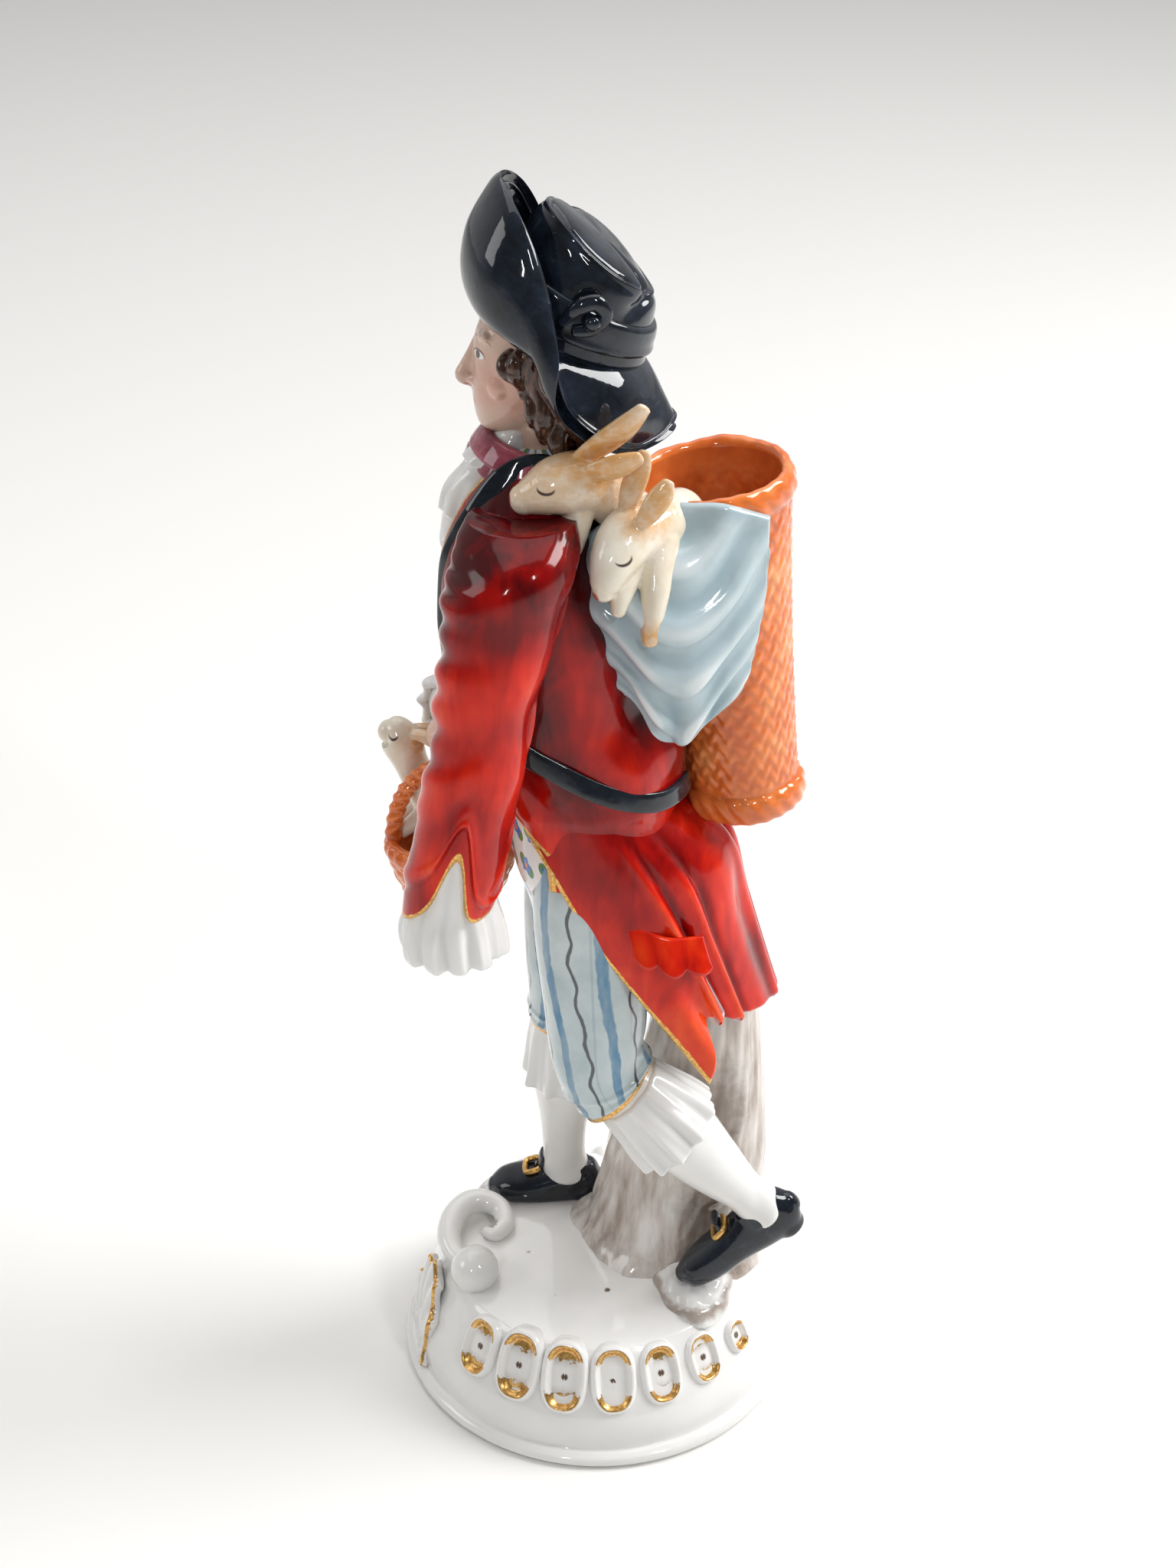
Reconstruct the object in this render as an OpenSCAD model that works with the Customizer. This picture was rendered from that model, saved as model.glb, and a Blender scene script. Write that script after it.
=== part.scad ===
// Porcelain figurine: a pedlar who walks past a tree stump with a basket of
// rabbits on the back and a small basket on one arm, on a round rococo base.
// Everything is one fired piece, made from the separately cast and pressed
// pieces below, which are luted face to face.
// Frame: origin at the centre of the foot ring, +Z up. The figure faces -Y and
// its left side is +X.

/* [Figure] */
// Height of the figure, from the ground it stands on to the top of the hat. Girths and baskets
// grow with it: their sizes below are those at a height of 218
figure_h = 218; // [200:1:262]
// Width of the coat across the chest, without the arms
chest_w = 41; // [34:0.5:50]
// Depth of the coat at the chest
chest_d = 29; // [24:0.5:35]
// Girth of the sleeves, as a diameter
sleeve_d = 17; // [14:0.5:21]
// Thickness of the breeches at the thigh
thigh_d = 19; // [16:0.5:23]
// Thickness of the stockinged calf
calf_d = 14.5; // [12:0.5:18]
// Width of the head
head_w = 18; // [15:0.5:22]
// Depth of the head, forehead to back
head_d = 23; // [19:0.5:28]

/* [Clothes] */
// Wall of the coat over the waistcoat
coat_wall = 2; // [1.6:0.1:2.6]
// Wall of the coat skirt
skirt_wall = 2.4; // [1.8:0.1:3.2]
// Wall of the hat brim
brim_wall = 2.2; // [1.8:0.1:3.2]
// Width of the carrying straps
strap_w = 4.4; // [3:0.1:6]
// Thickness of the carrying straps
strap_t = 1.2; // [0.8:0.1:2]
// Height of the hand basket's handle above its rim
handle_rise = 19; // [15:0.5:23]

/* [Baskets] */
// Diameter of the back basket over its rim
basket_rim_d = 28; // [23:0.5:34]
// Diameter of the back basket just above its foot
basket_low_d = 20.5; // [17:0.5:25]
// Height of the back basket
basket_h = 63; // [52:1:76]
// Wall of both baskets
basket_wall = 2; // [1.5:0.1:3]
// Height of the rolled foot of the back basket
basket_foot_h = 5; // [4:0.5:7]
// How far the rolled foot stands out
basket_foot_out = 1.3; // [0.8:0.1:2]
// Wall of the cloth that hangs over the back basket
cloth_wall = 2; // [1.5:0.1:3]
// Length of the hand basket over its rim, front to back
hand_basket_l = 24; // [20:0.5:29]
// Width of the hand basket over its rim
hand_basket_w = 18; // [15:0.5:22]
// Height of the hand basket's bowl
hand_basket_h = 11; // [9:0.5:14]
// Thickness of the hand basket's handle
handle_d = 3; // [2.4:0.1:4]

/* [Base] */
// Diameter of the base
base_d = 79; // [66:0.5:96]
// Height of the base, up to the ground that the figure stands on
base_h = 22; // [18:0.5:27]
// Diameter of the ground on top of the base
ground_d = 57; // [54:0.5:60]
// Wall of the hollow base
base_wall = 3; // [2.4:0.1:4]
// Width of the foot ring
foot_w = 3.2; // [2.5:0.1:4]
// Depth of the recess inside the foot ring
recess_d = 1.4; // [1:0.1:2.4]
// Diameter of the vent hole in the floor of the base
vent_d = 6; // [4:0.5:9]
// Width of the largest cartouche on the side of the base
panel_w = 9.4; // [7.5:0.1:10.4]
// Length of the largest cartouche, down the slope
panel_l = 14.5; // [12:0.5:16]
// How far the cartouches stand out of the base
panel_out = 1.5; // [1:0.1:2.2]
// Diameter of the ball beside the scroll
ball_d = 9.8; // [8:0.2:12]
// Thickness of the C scroll
scroll_d = 5; // [4:0.1:6]

/* [Hidden] */

sides = 14;                // points round a modelled limb
drawn_h = 218;             // figure height that the tables below are drawn for
k = figure_h / drawn_h;
ground_z = base_h;
bury = 1.5;                // how far a piece runs on under its neighbour before it is cut
fine = 60;                 // segments of a turned surface where a modelled piece is cut to it

// ---- shapes: smooth curves, lofted limbs and modelled sheets ----

function cubic(a, b, c, d, t) =
    0.5 * (2 * b + (c - a) * t + (2 * a - 5 * b + 4 * c - d) * t * t
    + (3 * b - a - 3 * c + d) * t * t * t);

// Smooth curve through the rows of a list, with the given steps between rows
function smooth(list, steps) = let (n = len(list) - 1)
    [for (i = [0:n - 1], s = [0:steps - 1])
        cubic(list[max(i - 1, 0)], list[i], list[i + 1], list[min(i + 2, n)], s / steps),
     list[n]];

// Smooth closed curve
function smooth_loop(list, steps) = let (n = len(list))
    [for (i = [0:n - 1], s = [0:steps - 1])
        cubic(list[(i + n - 1) % n], list[i], list[(i + 1) % n], list[(i + 2) % n], s / steps)];

function turned(grid) = [for (j = [0:len(grid[0]) - 1]) [for (row = grid) row[j]]];

// Smooth surface through a small grid of points, down the rows and across them
function surface_of(grid, down, across) =
    turned([for (col = turned([for (row = grid) smooth(row, across)])) smooth(col, down)]);

// One closed ring of a limb; r holds x, y, z, half width, half depth, tilt, turn
function ring(r, n = sides, square = 2) = let (power = 2 / square)
    [for (j = [0:n - 1])
        let (c = cos(360 * j / n), s = sin(360 * j / n),
            u = r[3] * sign(c) * pow(abs(c), power), v = r[4] * sign(s) * pow(abs(s), power))
        [r[0] + u * cos(r[6]) - v * sin(r[6]) * cos(r[5]),
         r[1] + u * sin(r[6]) + v * cos(r[6]) * cos(r[5]),
         r[2] + v * sin(r[5])]];

// Ring of a limb whose outline swells in and out in waves
function swollen(r, n, waves, out, shift = 0) = let (c = [r[0], r[1], r[2]], q = ring(r, n))
    [for (j = [0:n - 1]) c + (q[j] - c) * (1 + out * cos(360 * j * waves / n + shift))];

// Rows of a body table in millimetres, with girths as shares of a width and a depth
function rows(table, w, d) = [for (r = table)
    [r[0] * k, r[1] * k, ground_z + r[2] * k, r[3] * k * w / 2, r[4] * k * d / 2,
     len(r) > 5 ? r[5] : 0, len(r) > 6 ? r[6] : 0]];

function place(p) = [p[0] * k, p[1] * k, ground_z + p[2] * k];

function split(quad) = [[quad[0], quad[1], quad[2]], [quad[0], quad[2], quad[3]]];
function reversed(face) = [for (i = [len(face) - 1:-1:0]) face[i]];
function mean(points) = [for (a = [0:2]) [for (p = points) p[a]] * [for (p = points) 1 / len(points)]];

// Closed solid through a list of rings
module skin(rings) {
    n = len(rings[0]);
    last = len(rings) - 1;
    first = rings[0];
    up = [for (a = [0:2]) [for (j = [1:n - 2]) cross(first[j] - first[0], first[j + 1] - first[0])[a]]
        * [for (j = [1:n - 2]) 1]];
    flip = up * (mean(rings[1]) - mean(first)) < 0;
    walls = [for (i = [0:last - 1], j = [0:n - 1]) let (m = (j + 1) % n)
        each split([i * n + j, (i + 1) * n + j, (i + 1) * n + m, i * n + m])];
    faces = concat(walls, [[for (j = [0:n - 1]) j]], [[for (j = [n - 1:-1:0]) last * n + j]]);
    polyhedron([for (r = rings) each r], flip ? [for (f = faces) reversed(f)] : faces, 6);
}

module limb(table, steps = 2, n = sides, square = 2) {
    skin([for (r = smooth(table, steps)) ring(r, n, square)]);
}

// Unit normal of a grid at one point
function grid_normal(g, i, j, closed) = let (n = len(g[0]), last = len(g) - 1,
    along = g[min(i + 1, last)][j] - g[max(i - 1, 0)][j],
    across = closed ? g[i][(j + 1) % n] - g[i][(j + n - 1) % n]
        : g[i][min(j + 1, n - 1)] - g[i][max(j - 1, 0)],
    c = cross(along, across))
    c / max(norm(c), 0.001);

// Sheet of the given wall, whose outer face is the grid
module sheet(g, wall, closed = false) {
    m = len(g);
    n = len(g[0]);
    inner = [for (i = [0:m - 1]) [for (j = [0:n - 1]) g[i][j] - wall * grid_normal(g, i, j, closed)]];
    cells = closed ? n : n - 1;
    o = m * n;
    quads = [for (i = [0:m - 2], j = [0:cells - 1]) let (a = i * n + j, b = i * n + (j + 1) % n)
        each [[a, a + n, b + n, b], [o + a, o + b, o + b + n, o + a + n]]];
    ends = [for (j = [0:cells - 1]) let (b = (j + 1) % n, l = (m - 1) * n)
        each [[j, b, o + b, o + j], [l + b, l + j, o + l + j, o + l + b]]];
    edges = closed ? [] : [for (i = [0:m - 2]) let (a = i * n, b = i * n + n - 1)
        each [[a + n, a, o + a, o + a + n], [b, b + n, o + b + n, o + b]]];
    polyhedron(concat([for (r = g) each r], [for (r = inner) each r]),
        [for (q = concat(quads, ends, edges), t = split(q)) reversed(t)], 6);
}

// One boolean of modelled pieces, kept as one mesh
module cut() {
    resize([0, 0, 0]) difference() {
        children(0);
        children([1:$children - 1]);
    }
}

// ---- base: turned, hollow, with a foot ring, a floor and a vent hole ----

base_r = base_d / 2;
ground_r = ground_d / 2;
crown_h = 1.2;             // rise of the ground towards its middle
shoulder_r = ground_r + 2.6;
flare = 3.4;               // height of the upright band above the foot
slope_r = base_r - 2.2;    // radius where the slope begins above the band

// Outer radius of the base at a height
function slope_at(z) = let (t = min(max((z - flare) / (base_h - 3 - flare), 0), 1))
    slope_r + (shoulder_r - slope_r) * (t + 0.35 * sin(180 * t) * (1 - t) * -1);

base_outline = concat([[0, 0], [base_r, 0], [base_r, flare * 0.6], [base_r - 1, flare * 0.9]],
    [for (i = [0:5]) let (z = flare + (base_h - 3 - flare) * i / 5) [slope_at(z), z]],
    [[ground_r + 1.6, base_h - 1.2], [ground_r, base_h - 0.3], [ground_r * 0.6, base_h + crown_h * 0.6],
     [0, base_h + crown_h]]);
hollow_outline = concat([[0, recess_d + base_wall]],
    [[base_r - base_wall - 1.5, recess_d + base_wall]],
    [for (i = [1:4]) let (z = flare + (base_h - 4 - base_wall - flare) * i / 4)
        [slope_at(z) - base_wall * 1.25, max(z, recess_d + base_wall + 0.4 * i)]],
    [[ground_r - base_wall, base_h - base_wall - 0.6], [0, base_h - base_wall]]);

module turned_base() {
    rotate_extrude($fn = fine) polygon(base_outline);
}

module base() color([0.93, 0.92, 0.9]) {
    difference() {
        turned_base();
        rotate_extrude($fn = fine) polygon(hollow_outline);
        translate([0, 0, -1]) cylinder(r = base_r - foot_w, h = recess_d + 1, $fn = fine);
        cylinder(d = vent_d, h = recess_d + base_wall + 1, $fn = 48);
    }
}

// ---- rococo ornament on the base ----

first_panel = -45;         // angle of the first cartouche, from +X
panel_step = 16.7;         // angle from one cartouche to the next
panel_top = base_h + 1;    // height of a cartouche's upper end
panel_shares = [0.86, 1, 1, 0.95, 0.86, 0.72, 0.46];
panel_lean = atan2(slope_at(8) - slope_at(base_h - 3), base_h - 11);

// One cartouche lying on the XY plane, with its raised rim round a sunk plaque
module cartouche(share) {
    w = panel_w / 2 * (0.25 + 0.75 * share);
    l = panel_l / 2 * share;
    skin([for (r = [[w, l, -2.2], [w, l, panel_out * 0.5], [w - 0.5, l - 0.5, panel_out],
        [w * 0.66, l * 0.74, panel_out], [w * 0.5, l * 0.6, panel_out - 1]])
        ring([0, 0, r[2], r[0], r[1], 0, 0], 12, 2.4)]);
}

module cartouche_row() {
    for (i = [0:len(panel_shares) - 1]) let (share = panel_shares[i],
        mid = panel_top - (1.4 - share * 0.4) * panel_l / 2 * cos(panel_lean))
        rotate([0, 0, first_panel + i * panel_step])
            translate([slope_at(mid) - 0.3, 0, mid])
                rotate([0, 90 - panel_lean, 0]) rotate([0, 0, 90]) cartouche(share);
}

module left_cartouches() color([0.95, 0.94, 0.9]) cut() {
    cartouche_row();
    turned_base();
}
module right_cartouches() color([0.95, 0.94, 0.9]) mirror([1, 0, 0]) cut() {
    cartouche_row();
    turned_base();
}

// Shell with ribs, standing against the front of the base
shell_r = 9;
slope_run = [slope_r - shoulder_r, base_h - 3 - flare];
shell_h = 19;
shell_turn = 9;            // angle of the shell from the front, towards the left side
shell_lean = atan2(slope_run[0], slope_run[1]) - 2.7;    // it leans back against the slope
shell_foot = [0, -ground_r - 1.9 - shell_h * sin(shell_lean), base_h - 1.54 - shell_h * cos(shell_lean)];
ribs = 6;
rib_out = 0.06;            // how far the ribs stand out, as a share of the shell
// Outlines of the shell from its back to its crest: size and distance out
shell_rows = [[1, -4], [1, 0.4], [0.75, 2.4], [0.2, 3.2]];
function shell_outline(size, out) = [for (j = [0:20])
    let (a = 180 * j / 20, f = size * (1 + rib_out * cos(2 * ribs * a)))
    [shell_r * f * cos(a), -out, shell_h * f * sin(a) + (1 - size) * 3]];
module front_shell() color([0.95, 0.93, 0.88]) cut() {
    rotate([0, 0, shell_turn]) translate(shell_foot) rotate([-shell_lean, 0, 0])
        skin([for (r = shell_rows) shell_outline(r[0], r[1])]);
    turned_base();
    ball_solid();
    scroll_solid();
}

ball_at = [9.6, -ground_r + 4, base_h + 2];
module ball_solid() {
    translate(ball_at) sphere(d = ball_d, $fn = 20);
}
module ball() color([0.96, 0.95, 0.92]) cut() {
    ball_solid();
    turned_base();
}

// C scroll that lies along the front edge of the ground
scroll_route = [[6, -27.5, 0.6], [1, -30, 2], [-5, -29.4, 3], [-9.4, -25, 3.2], [-8, -20.5, 2.6],
    [-3, -19, 1.4]];
scroll_girth = [0.7, 0.95, 1, 0.95, 0.85, 0.6];
// Heading of the scroll's route, kept continuous as it curls past 180 degrees
function turn_at(i) = let (a = scroll_route[max(i - 1, 0)], b = scroll_route[min(i + 1, 5)],
    t = atan2(b[1] - a[1], b[0] - a[0])) (t < -60 && i < 2 ? t + 360 : t > 150 ? t - 360 : t) - 90;
module scroll_solid() {
    limb([for (i = [0:5]) let (p = scroll_route[i], r = scroll_d * scroll_girth[i] / 2)
        [p[0], p[1], base_h + p[2], r, r, 90, turn_at(i)]], 2, 12);
}
module scroll() color([0.96, 0.95, 0.92]) cut() {
    scroll_solid();
    turned_base();
    ball_solid();
    shoe_of(right_shoe_rows);
}

// ---- ground: a rock under the raised foot, and the tree stump ----

rock_rows = [[13, 19, -1, 9.5, 8], [13, 19, 2.2, 8, 6.8], [13, 19.5, 4, 4.5, 3.6], [13, 19.5, 4.5, 1.2, 1]];
module rock_solid() {
    limb(rows(rock_rows, 2, 2), 2, 16);
}
module ground_rock() color([0.9, 0.88, 0.84]) cut() {
    rock_solid();
    turned_base();
    cartouche_row();
}

stump_d = 20;
stump_table = [[-5, 14.5, -1, 1.72, 2.0], [-5, 15.5, 4, 1.5, 1.8], [-5, 16.5, 10, 1.35, 1.66],
    [-5, 18, 25, 1.25, 1.52], [-5, 20, 44, 1.08, 1.24], [-5, 21.5, 64, 0.95, 1.0], [-4, 20, 80, 0.88, 0.92],
    [-2, 13, 96, 0.84, 0.86]];
lobes = 4;
lobe_out = 0.045;          // how far the lobes of the bark stand out
module stump_solid() {
    skin([for (r = smooth(rows(stump_table, stump_d, stump_d), 2)) swollen(r, 16, lobes, lobe_out, 40)]);
}
module tree_stump() color([0.72, 0.68, 0.64]) cut() {
    stump_solid();
    turned_base();
    rock_solid();
    trunk_solid();
    coat_skirt_solid();
    breeches(left_thigh);
    breeches(right_thigh);
    calf(left_calf);
    calf(right_calf);
    shoe_of(left_shoe_rows);
    shoe_of(right_shoe_rows);
    frill_of(left_frill);
    frill_of(right_frill);
}

// ---- legs ----

left_thigh = [[7.5, -1.5, 100, 1.05, 1.2], [9.5, -1.2, 84, 1.03, 1.12], [11, -0.6, 68, 0.98, 1.0],
    [12, 0.2, 57, 0.92, 0.92, 18], [12.6, 3.4, 50.5, 0.8, 0.82, 45]];
right_thigh = [[-7.5, -2, 100, 1.05, 1.2], [-9, -3.8, 84, 1.0, 1.08], [-10, -4.8, 68, 0.95, 0.98],
    [-10.8, -5, 56, 0.88, 0.88], [-11.2, -5.2, 49.5, 0.82, 0.82]];
left_calf = [[12.4, 2.5, 52.5, 0.95, 0.95, 45], [13, 9, 46.5, 1.0, 1.02, 46],
    [13.4, 15, 40.5, 1.0, 1.05, 47],
    [13.8, 22, 32.5, 0.8, 0.82, 48], [14, 27.5, 26.5, 0.62, 0.64, 48], [14, 32.5, 21.5, 0.6, 0.62, 50]];
right_calf = [[-11.2, -5.2, 52, 0.92, 0.92], [-11.8, -5.4, 42, 0.98, 1.02], [-12.6, -6, 33, 0.92, 0.96],
    [-14, -6.8, 22, 0.68, 0.7], [-14.8, -6.9, 13, 0.6, 0.62], [-15, -6.5, 7, 0.64, 0.7]];

module breeches(table) {
    limb(rows(table, thigh_d, thigh_d), 2);
}
module calf(table) {
    limb(rows(table, calf_d, calf_d), 2);
}

module left_breeches_leg() color([0.72, 0.8, 0.82]) cut() {
    breeches(left_thigh);
    trunk_solid();
    coat_solid();
    coat_skirt_solid();
    calf(left_calf);
}
module right_breeches_leg() color([0.72, 0.8, 0.82]) cut() {
    breeches(right_thigh);
    trunk_solid();
    coat_solid();
    coat_skirt_solid();
    calf(right_calf);
    breeches(left_thigh);
}
module left_stocking() color([0.95, 0.94, 0.92]) cut() {
    calf(left_calf);
    shoe_of(left_shoe_rows);
}
module right_stocking() color([0.95, 0.94, 0.92]) cut() {
    calf(right_calf);
    shoe_of(right_shoe_rows);
}

// Frill below the knee: a pleated sheet round the calf
left_frill = [[12.8, 5.5, 50, 1.08, 1.08, 45], [13.1, 10, 45.5, 1.16, 1.16, 46],
    [13.4, 14.5, 41, 1.28, 1.3, 47]];
right_frill = [[-11.3, -5.2, 50.5, 1.1, 1.1], [-11.6, -5.3, 42, 1.18, 1.2], [-12, -5.6, 34, 1.2, 1.24]];
pleats = 9;
pleat_out = 0.022;         // how much deeper the pleats get from ring to ring
module frill_of(table) {
    r = smooth(rows(table, calf_d, calf_d), 2);
    skin([for (i = [0:len(r) - 1]) swollen(r[i], 18, pleats, pleat_out * i)]);
}
module left_knee_frill() color([0.95, 0.95, 0.94]) cut() {
    frill_of(left_frill);
    calf(left_calf);
    breeches(left_thigh);
}
module right_knee_frill() color([0.95, 0.95, 0.94]) cut() {
    frill_of(right_frill);
    calf(right_calf);
    breeches(right_thigh);
}

// Shoes: rings across the foot, from the back of the heel to the toe
shoe_w = 10.5;
left_shoe_rows = [[14, 37.6, 24, 0.3, 0.35, 42], [14, 35.6, 22.3, 0.62, 1.1, 42],
    [14, 31.4, 18.8, 0.72, 1.12, 42],
    [14, 26.8, 14.4, 0.86, 0.84, 42], [14, 22.6, 10, 0.9, 0.72, 42], [14, 18.8, 6.6, 0.72, 0.56, 42],
     [14, 16.9, 5.2, 0.3, 0.25, 42]];
right_shoe_rows = [[-14.8, 0.6, 4.2, 0.3, 0.35], [-14.8, -1.2, 4.6, 0.62, 0.98],
    [-15, -5.5, 4.8, 0.74, 1.0],
    [-15.4, -11, 3.8, 0.88, 0.82], [-15.8, -16, 3.1, 0.9, 0.66], [-16.2, -20, 2.4, 0.7, 0.46],
     [-16.3, -22.2, 2, 0.3, 0.2]];
module shoe_of(table) {
    limb([for (r = rows(table, shoe_w, shoe_w)) [r[0], r[1], r[2], r[3], r[4], r[5] + 90, 0]],
        2, sides, 2.3);
}
module left_shoe() color([0.08, 0.08, 0.09]) cut() {
    shoe_of(left_shoe_rows);
    rock_solid();
    turned_base();
}
module right_shoe() color([0.08, 0.08, 0.09]) cut() {
    shoe_of(right_shoe_rows);
    turned_base();
}

// Buckles: a small open frame over each instep
buckle_w = 4.6 * k;
buckle_l = 3.8 * k;
buckle_t = 1;
module buckle_frame() {
    difference() {
        cube([buckle_w, buckle_l, buckle_t * 3], center = true);
        cube([buckle_w - 2 * buckle_t, buckle_l - 2 * buckle_t, buckle_t * 4], center = true);
    }
}
module left_buckle() color([0.8, 0.65, 0.3]) cut() {
    translate(place([14, 24.2, 16.3])) rotate([56, 0, 0]) buckle_frame();
    shoe_of(left_shoe_rows);
    calf(left_calf);
}
module right_buckle() color([0.8, 0.65, 0.3]) cut() {
    translate(place([-15.4, -13.2, 7.2])) rotate([18, 0, 0]) buckle_frame();
    shoe_of(right_shoe_rows);
    calf(right_calf);
}

// ---- trunk and coat ----

// Rows: x, y, z, half width and half depth as shares of the chest
coat_table = [[0, -3, 96, 0.84, 1.0], [0, -4.5, 108, 0.82, 0.99], [0, -8.5, 120, 0.83, 0.98],
    [0, -11.8, 133, 0.9, 1.02],
    [0, -12.8, 146, 0.96, 1.0], [0, -12.7, 158, 1.0, 0.92], [0, -11.6, 166, 0.9, 0.76],
     [0, -11, 171.5, 0.62, 0.56],
    [0, -10.6, 175, 0.42, 0.44]];
hem_table = [[0, -0.5, 80, 0.8, 0.9], [0, -1.2, 88, 0.78, 0.96]];
function inset(table, wall) = [for (r = table) [r[0], r[1], r[2], r[3] - wall, r[4] - wall, r[5], r[6]]];

module coat_solid() {
    limb(rows(coat_table, chest_w, chest_d), 2, 18, 2.3);
}
// The waistcoat is the trunk inside the coat, and runs on below it to its own hem
module trunk_solid() {
    limb(inset(rows(concat(hem_table, coat_table), chest_w, chest_d), coat_wall), 2, 18, 2.3);
}
// The coat stands open in front: narrow at the neck, wide at the waist
opening = [[4.2, 172], [4.8, 150], [6, 132], [10, 118], [16, 104], [22, 90]];
opening_back = -8;         // the opening is cut from here to the front
module front_opening() {
    other_side = [for (i = [len(opening) - 1:-1:0]) [-opening[i][0], opening[i][1]]];
    translate([0, opening_back * k, ground_z]) rotate([90, 0, 0]) linear_extrude(height = chest_d * 2)
        polygon(concat(opening, other_side) * k);
}
module waistcoat() color([0.94, 0.93, 0.9]) cut() {
    trunk_solid();
    coat_skirt_solid();
}
module coat_body() color([0.72, 0.1, 0.06]) cut() {
    coat_solid();
    trunk_solid();
    front_opening();
    coat_skirt_solid();
}

// Skirt of the coat: columns from the left front edge round the back to the centre,
// each with its points from the waist to the hem
skirt_half = [
    [[13.5, -15.5, 112], [16.5, -9.5, 101], [18.5, 0.5, 84], [20.2, 20.2, 56]],
    [[16.5, -9, 112], [19.5, -1.5, 99], [20.8, 9, 82], [20.4, 21.5, 62]],
    [[17.8, -3, 112], [20.2, 5, 98], [20, 13.5, 82], [17.2, 19.5, 69]],
    [[16, 3, 112], [17.5, 12.5, 98], [17, 19, 83], [14.5, 24.5, 67]],
    [[10.5, 7.5, 112], [11, 19.5, 99], [10.5, 24, 84], [9, 29.5, 65.5]],
    [[5, 9.4, 112], [4.5, 23, 100], [4.2, 27, 85], [4, 33.4, 64.5]]];
skirt_back = [[0, 9.8, 112], [0, 22.4, 100], [0, 27.8, 85], [0, 34.4, 63.5]];
skirt_columns = concat(skirt_half, [skirt_back], [for (i = [len(skirt_half) - 1:-1:0])
    [for (p = skirt_half[i]) [-p[0], p[1], p[2]]]]);
skirt_grid = surface_of(turned([for (c = skirt_columns) [for (p = c) place(p)]]), 2, 2);
module coat_skirt_solid() {
    sheet(skirt_grid, skirt_wall);
}
module coat_skirt() color([0.72, 0.1, 0.06]) cut() {
    coat_skirt_solid();
    back_basket_solid();
}

// Pocket flaps lie on the sides of the skirt
flap_wall = 1.3;
flap_grid = [[[21, 4, 93], [22.2, 11.5, 90], [20.5, 18.5, 89]], [[22.4, 6, 86], [23.4, 13, 83.5],
    [20.4, 20.5, 82.5]]];
module flap_solid() {
    sheet(surface_of([for (r = flap_grid) [for (p = r) place(p)]], 3, 3), flap_wall + bury);
}
module left_pocket_flap() color([0.68, 0.09, 0.06]) cut() {
    flap_solid();
    coat_skirt_solid();
}
module right_pocket_flap() color([0.68, 0.09, 0.06]) cut() {
    mirror([1, 0, 0]) flap_solid();
    coat_skirt_solid();
}

// ---- neck, collar and head ----

neck_table = [[0, -9.5, 168, 0.62, 0.5], [0, -9.4, 176, 0.6, 0.5], [0, -10, 184, 0.6, 0.52]];
skull_table = [[0, -15.2, 177.2, 0.26, 0.24], [0, -14.2, 178.6, 0.46, 0.48], [0, -12, 182.5, 0.76, 0.74],
    [0, -10.4, 188, 0.92, 0.88], [0, -9.2, 194, 1.0, 0.94], [0, -8, 199, 0.9, 0.8], [0, -7.2, 203, 0.5, 0.5]];
nose = [[0, -20.6, 184.6, 0.16, 0.14], [0, -21.6, 186.2, 0.2, 0.2], [0, -21, 189, 0.13, 0.13],
    [0, -20, 192.5, 0.1, 0.08]];
module head_solid() {
    limb(rows(skull_table, head_w, head_d), 2, 14);
    limb(rows(neck_table, head_w, head_d), 1, 14);
    limb(rows(nose, head_w, head_w), 1, 10);
}
module head() color([0.9, 0.74, 0.62]) cut() {
    head_solid();
    coat_solid();
    crown_solid();
    brim_solid();
}

hair_table = [[0, -1.5, 173.5, 0.5, 0.3], [0, -1.8, 177, 0.95, 0.56], [0, -3.2, 182, 1.18, 0.72],
    [0, -4.5, 187, 1.22, 0.78], [0, -5, 191, 1.08, 0.74], [0, -5, 194.5, 0.8, 0.6]];
locks = 6;
lock_out = 0.04;           // how far the locks of hair stand out
module hair_solid() {
    skin([for (r = smooth(rows(hair_table, head_w, head_d), 2))
        swollen(r, 18, locks, lock_out, r[2] * 40)]);
}
module hair() color([0.2, 0.12, 0.08]) cut() {
    hair_solid();
    head_solid();
    coat_solid();
    crown_solid();
    brim_solid();
    collar_solid();
}

// Ribbon tied round the hair at the nape
ribbon_d = 3.2;
ribbon_half = [[0, 3.2, 174.5, 1, 0.8, 0, 0], [3, 3.8, 176, 1.1, 0.9, 0, 0],
    [6.2, 3.4, 177.4, 0.5, 0.6, 0, 0]];
module ribbon_solid() {
    for (side = [-1, 1]) skin([for (r = smooth(rows(ribbon_half, ribbon_d, ribbon_d), 2))
        [for (a = [0:30:330]) [side * r[0], r[1] + r[4] * cos(a), r[2] + side * r[3] * sin(a)]]]);
}
module hair_ribbon() color([0.05, 0.05, 0.06]) cut() {
    ribbon_solid();
    hair_solid();
    collar_solid();
    head_solid();
    coat_solid();
}

collar_table = [[0, -10.8, 170, 1.24, 0.92, -14], [0, -10, 175, 1.06, 0.8, -14]];
module collar_solid() {
    limb(rows(collar_table, chest_w * 18 / 41, chest_d * 23 / 29), 3, 18);
}
module collar() color([0.68, 0.4, 0.45]) cut() {
    collar_solid();
    coat_solid();
    head_solid();
    neckcloth_solid();
}

neckcloth_table = [[0, -24.4, 155, 0.1, 0.1], [0, -24, 158, 0.34, 0.3], [0, -21.8, 166, 0.42, 0.42],
    [0, -18.5, 171, 0.46, 0.46], [0, -15.4, 175, 0.62, 0.5],
    [0, -14, 177.5, 0.52, 0.36]];
module neckcloth_solid() {
    limb(rows(neckcloth_table, head_w, head_w), 2, 14);
}
module neckcloth() color([0.95, 0.95, 0.94]) cut() {
    neckcloth_solid();
    coat_solid();
    head_solid();
}

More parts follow.
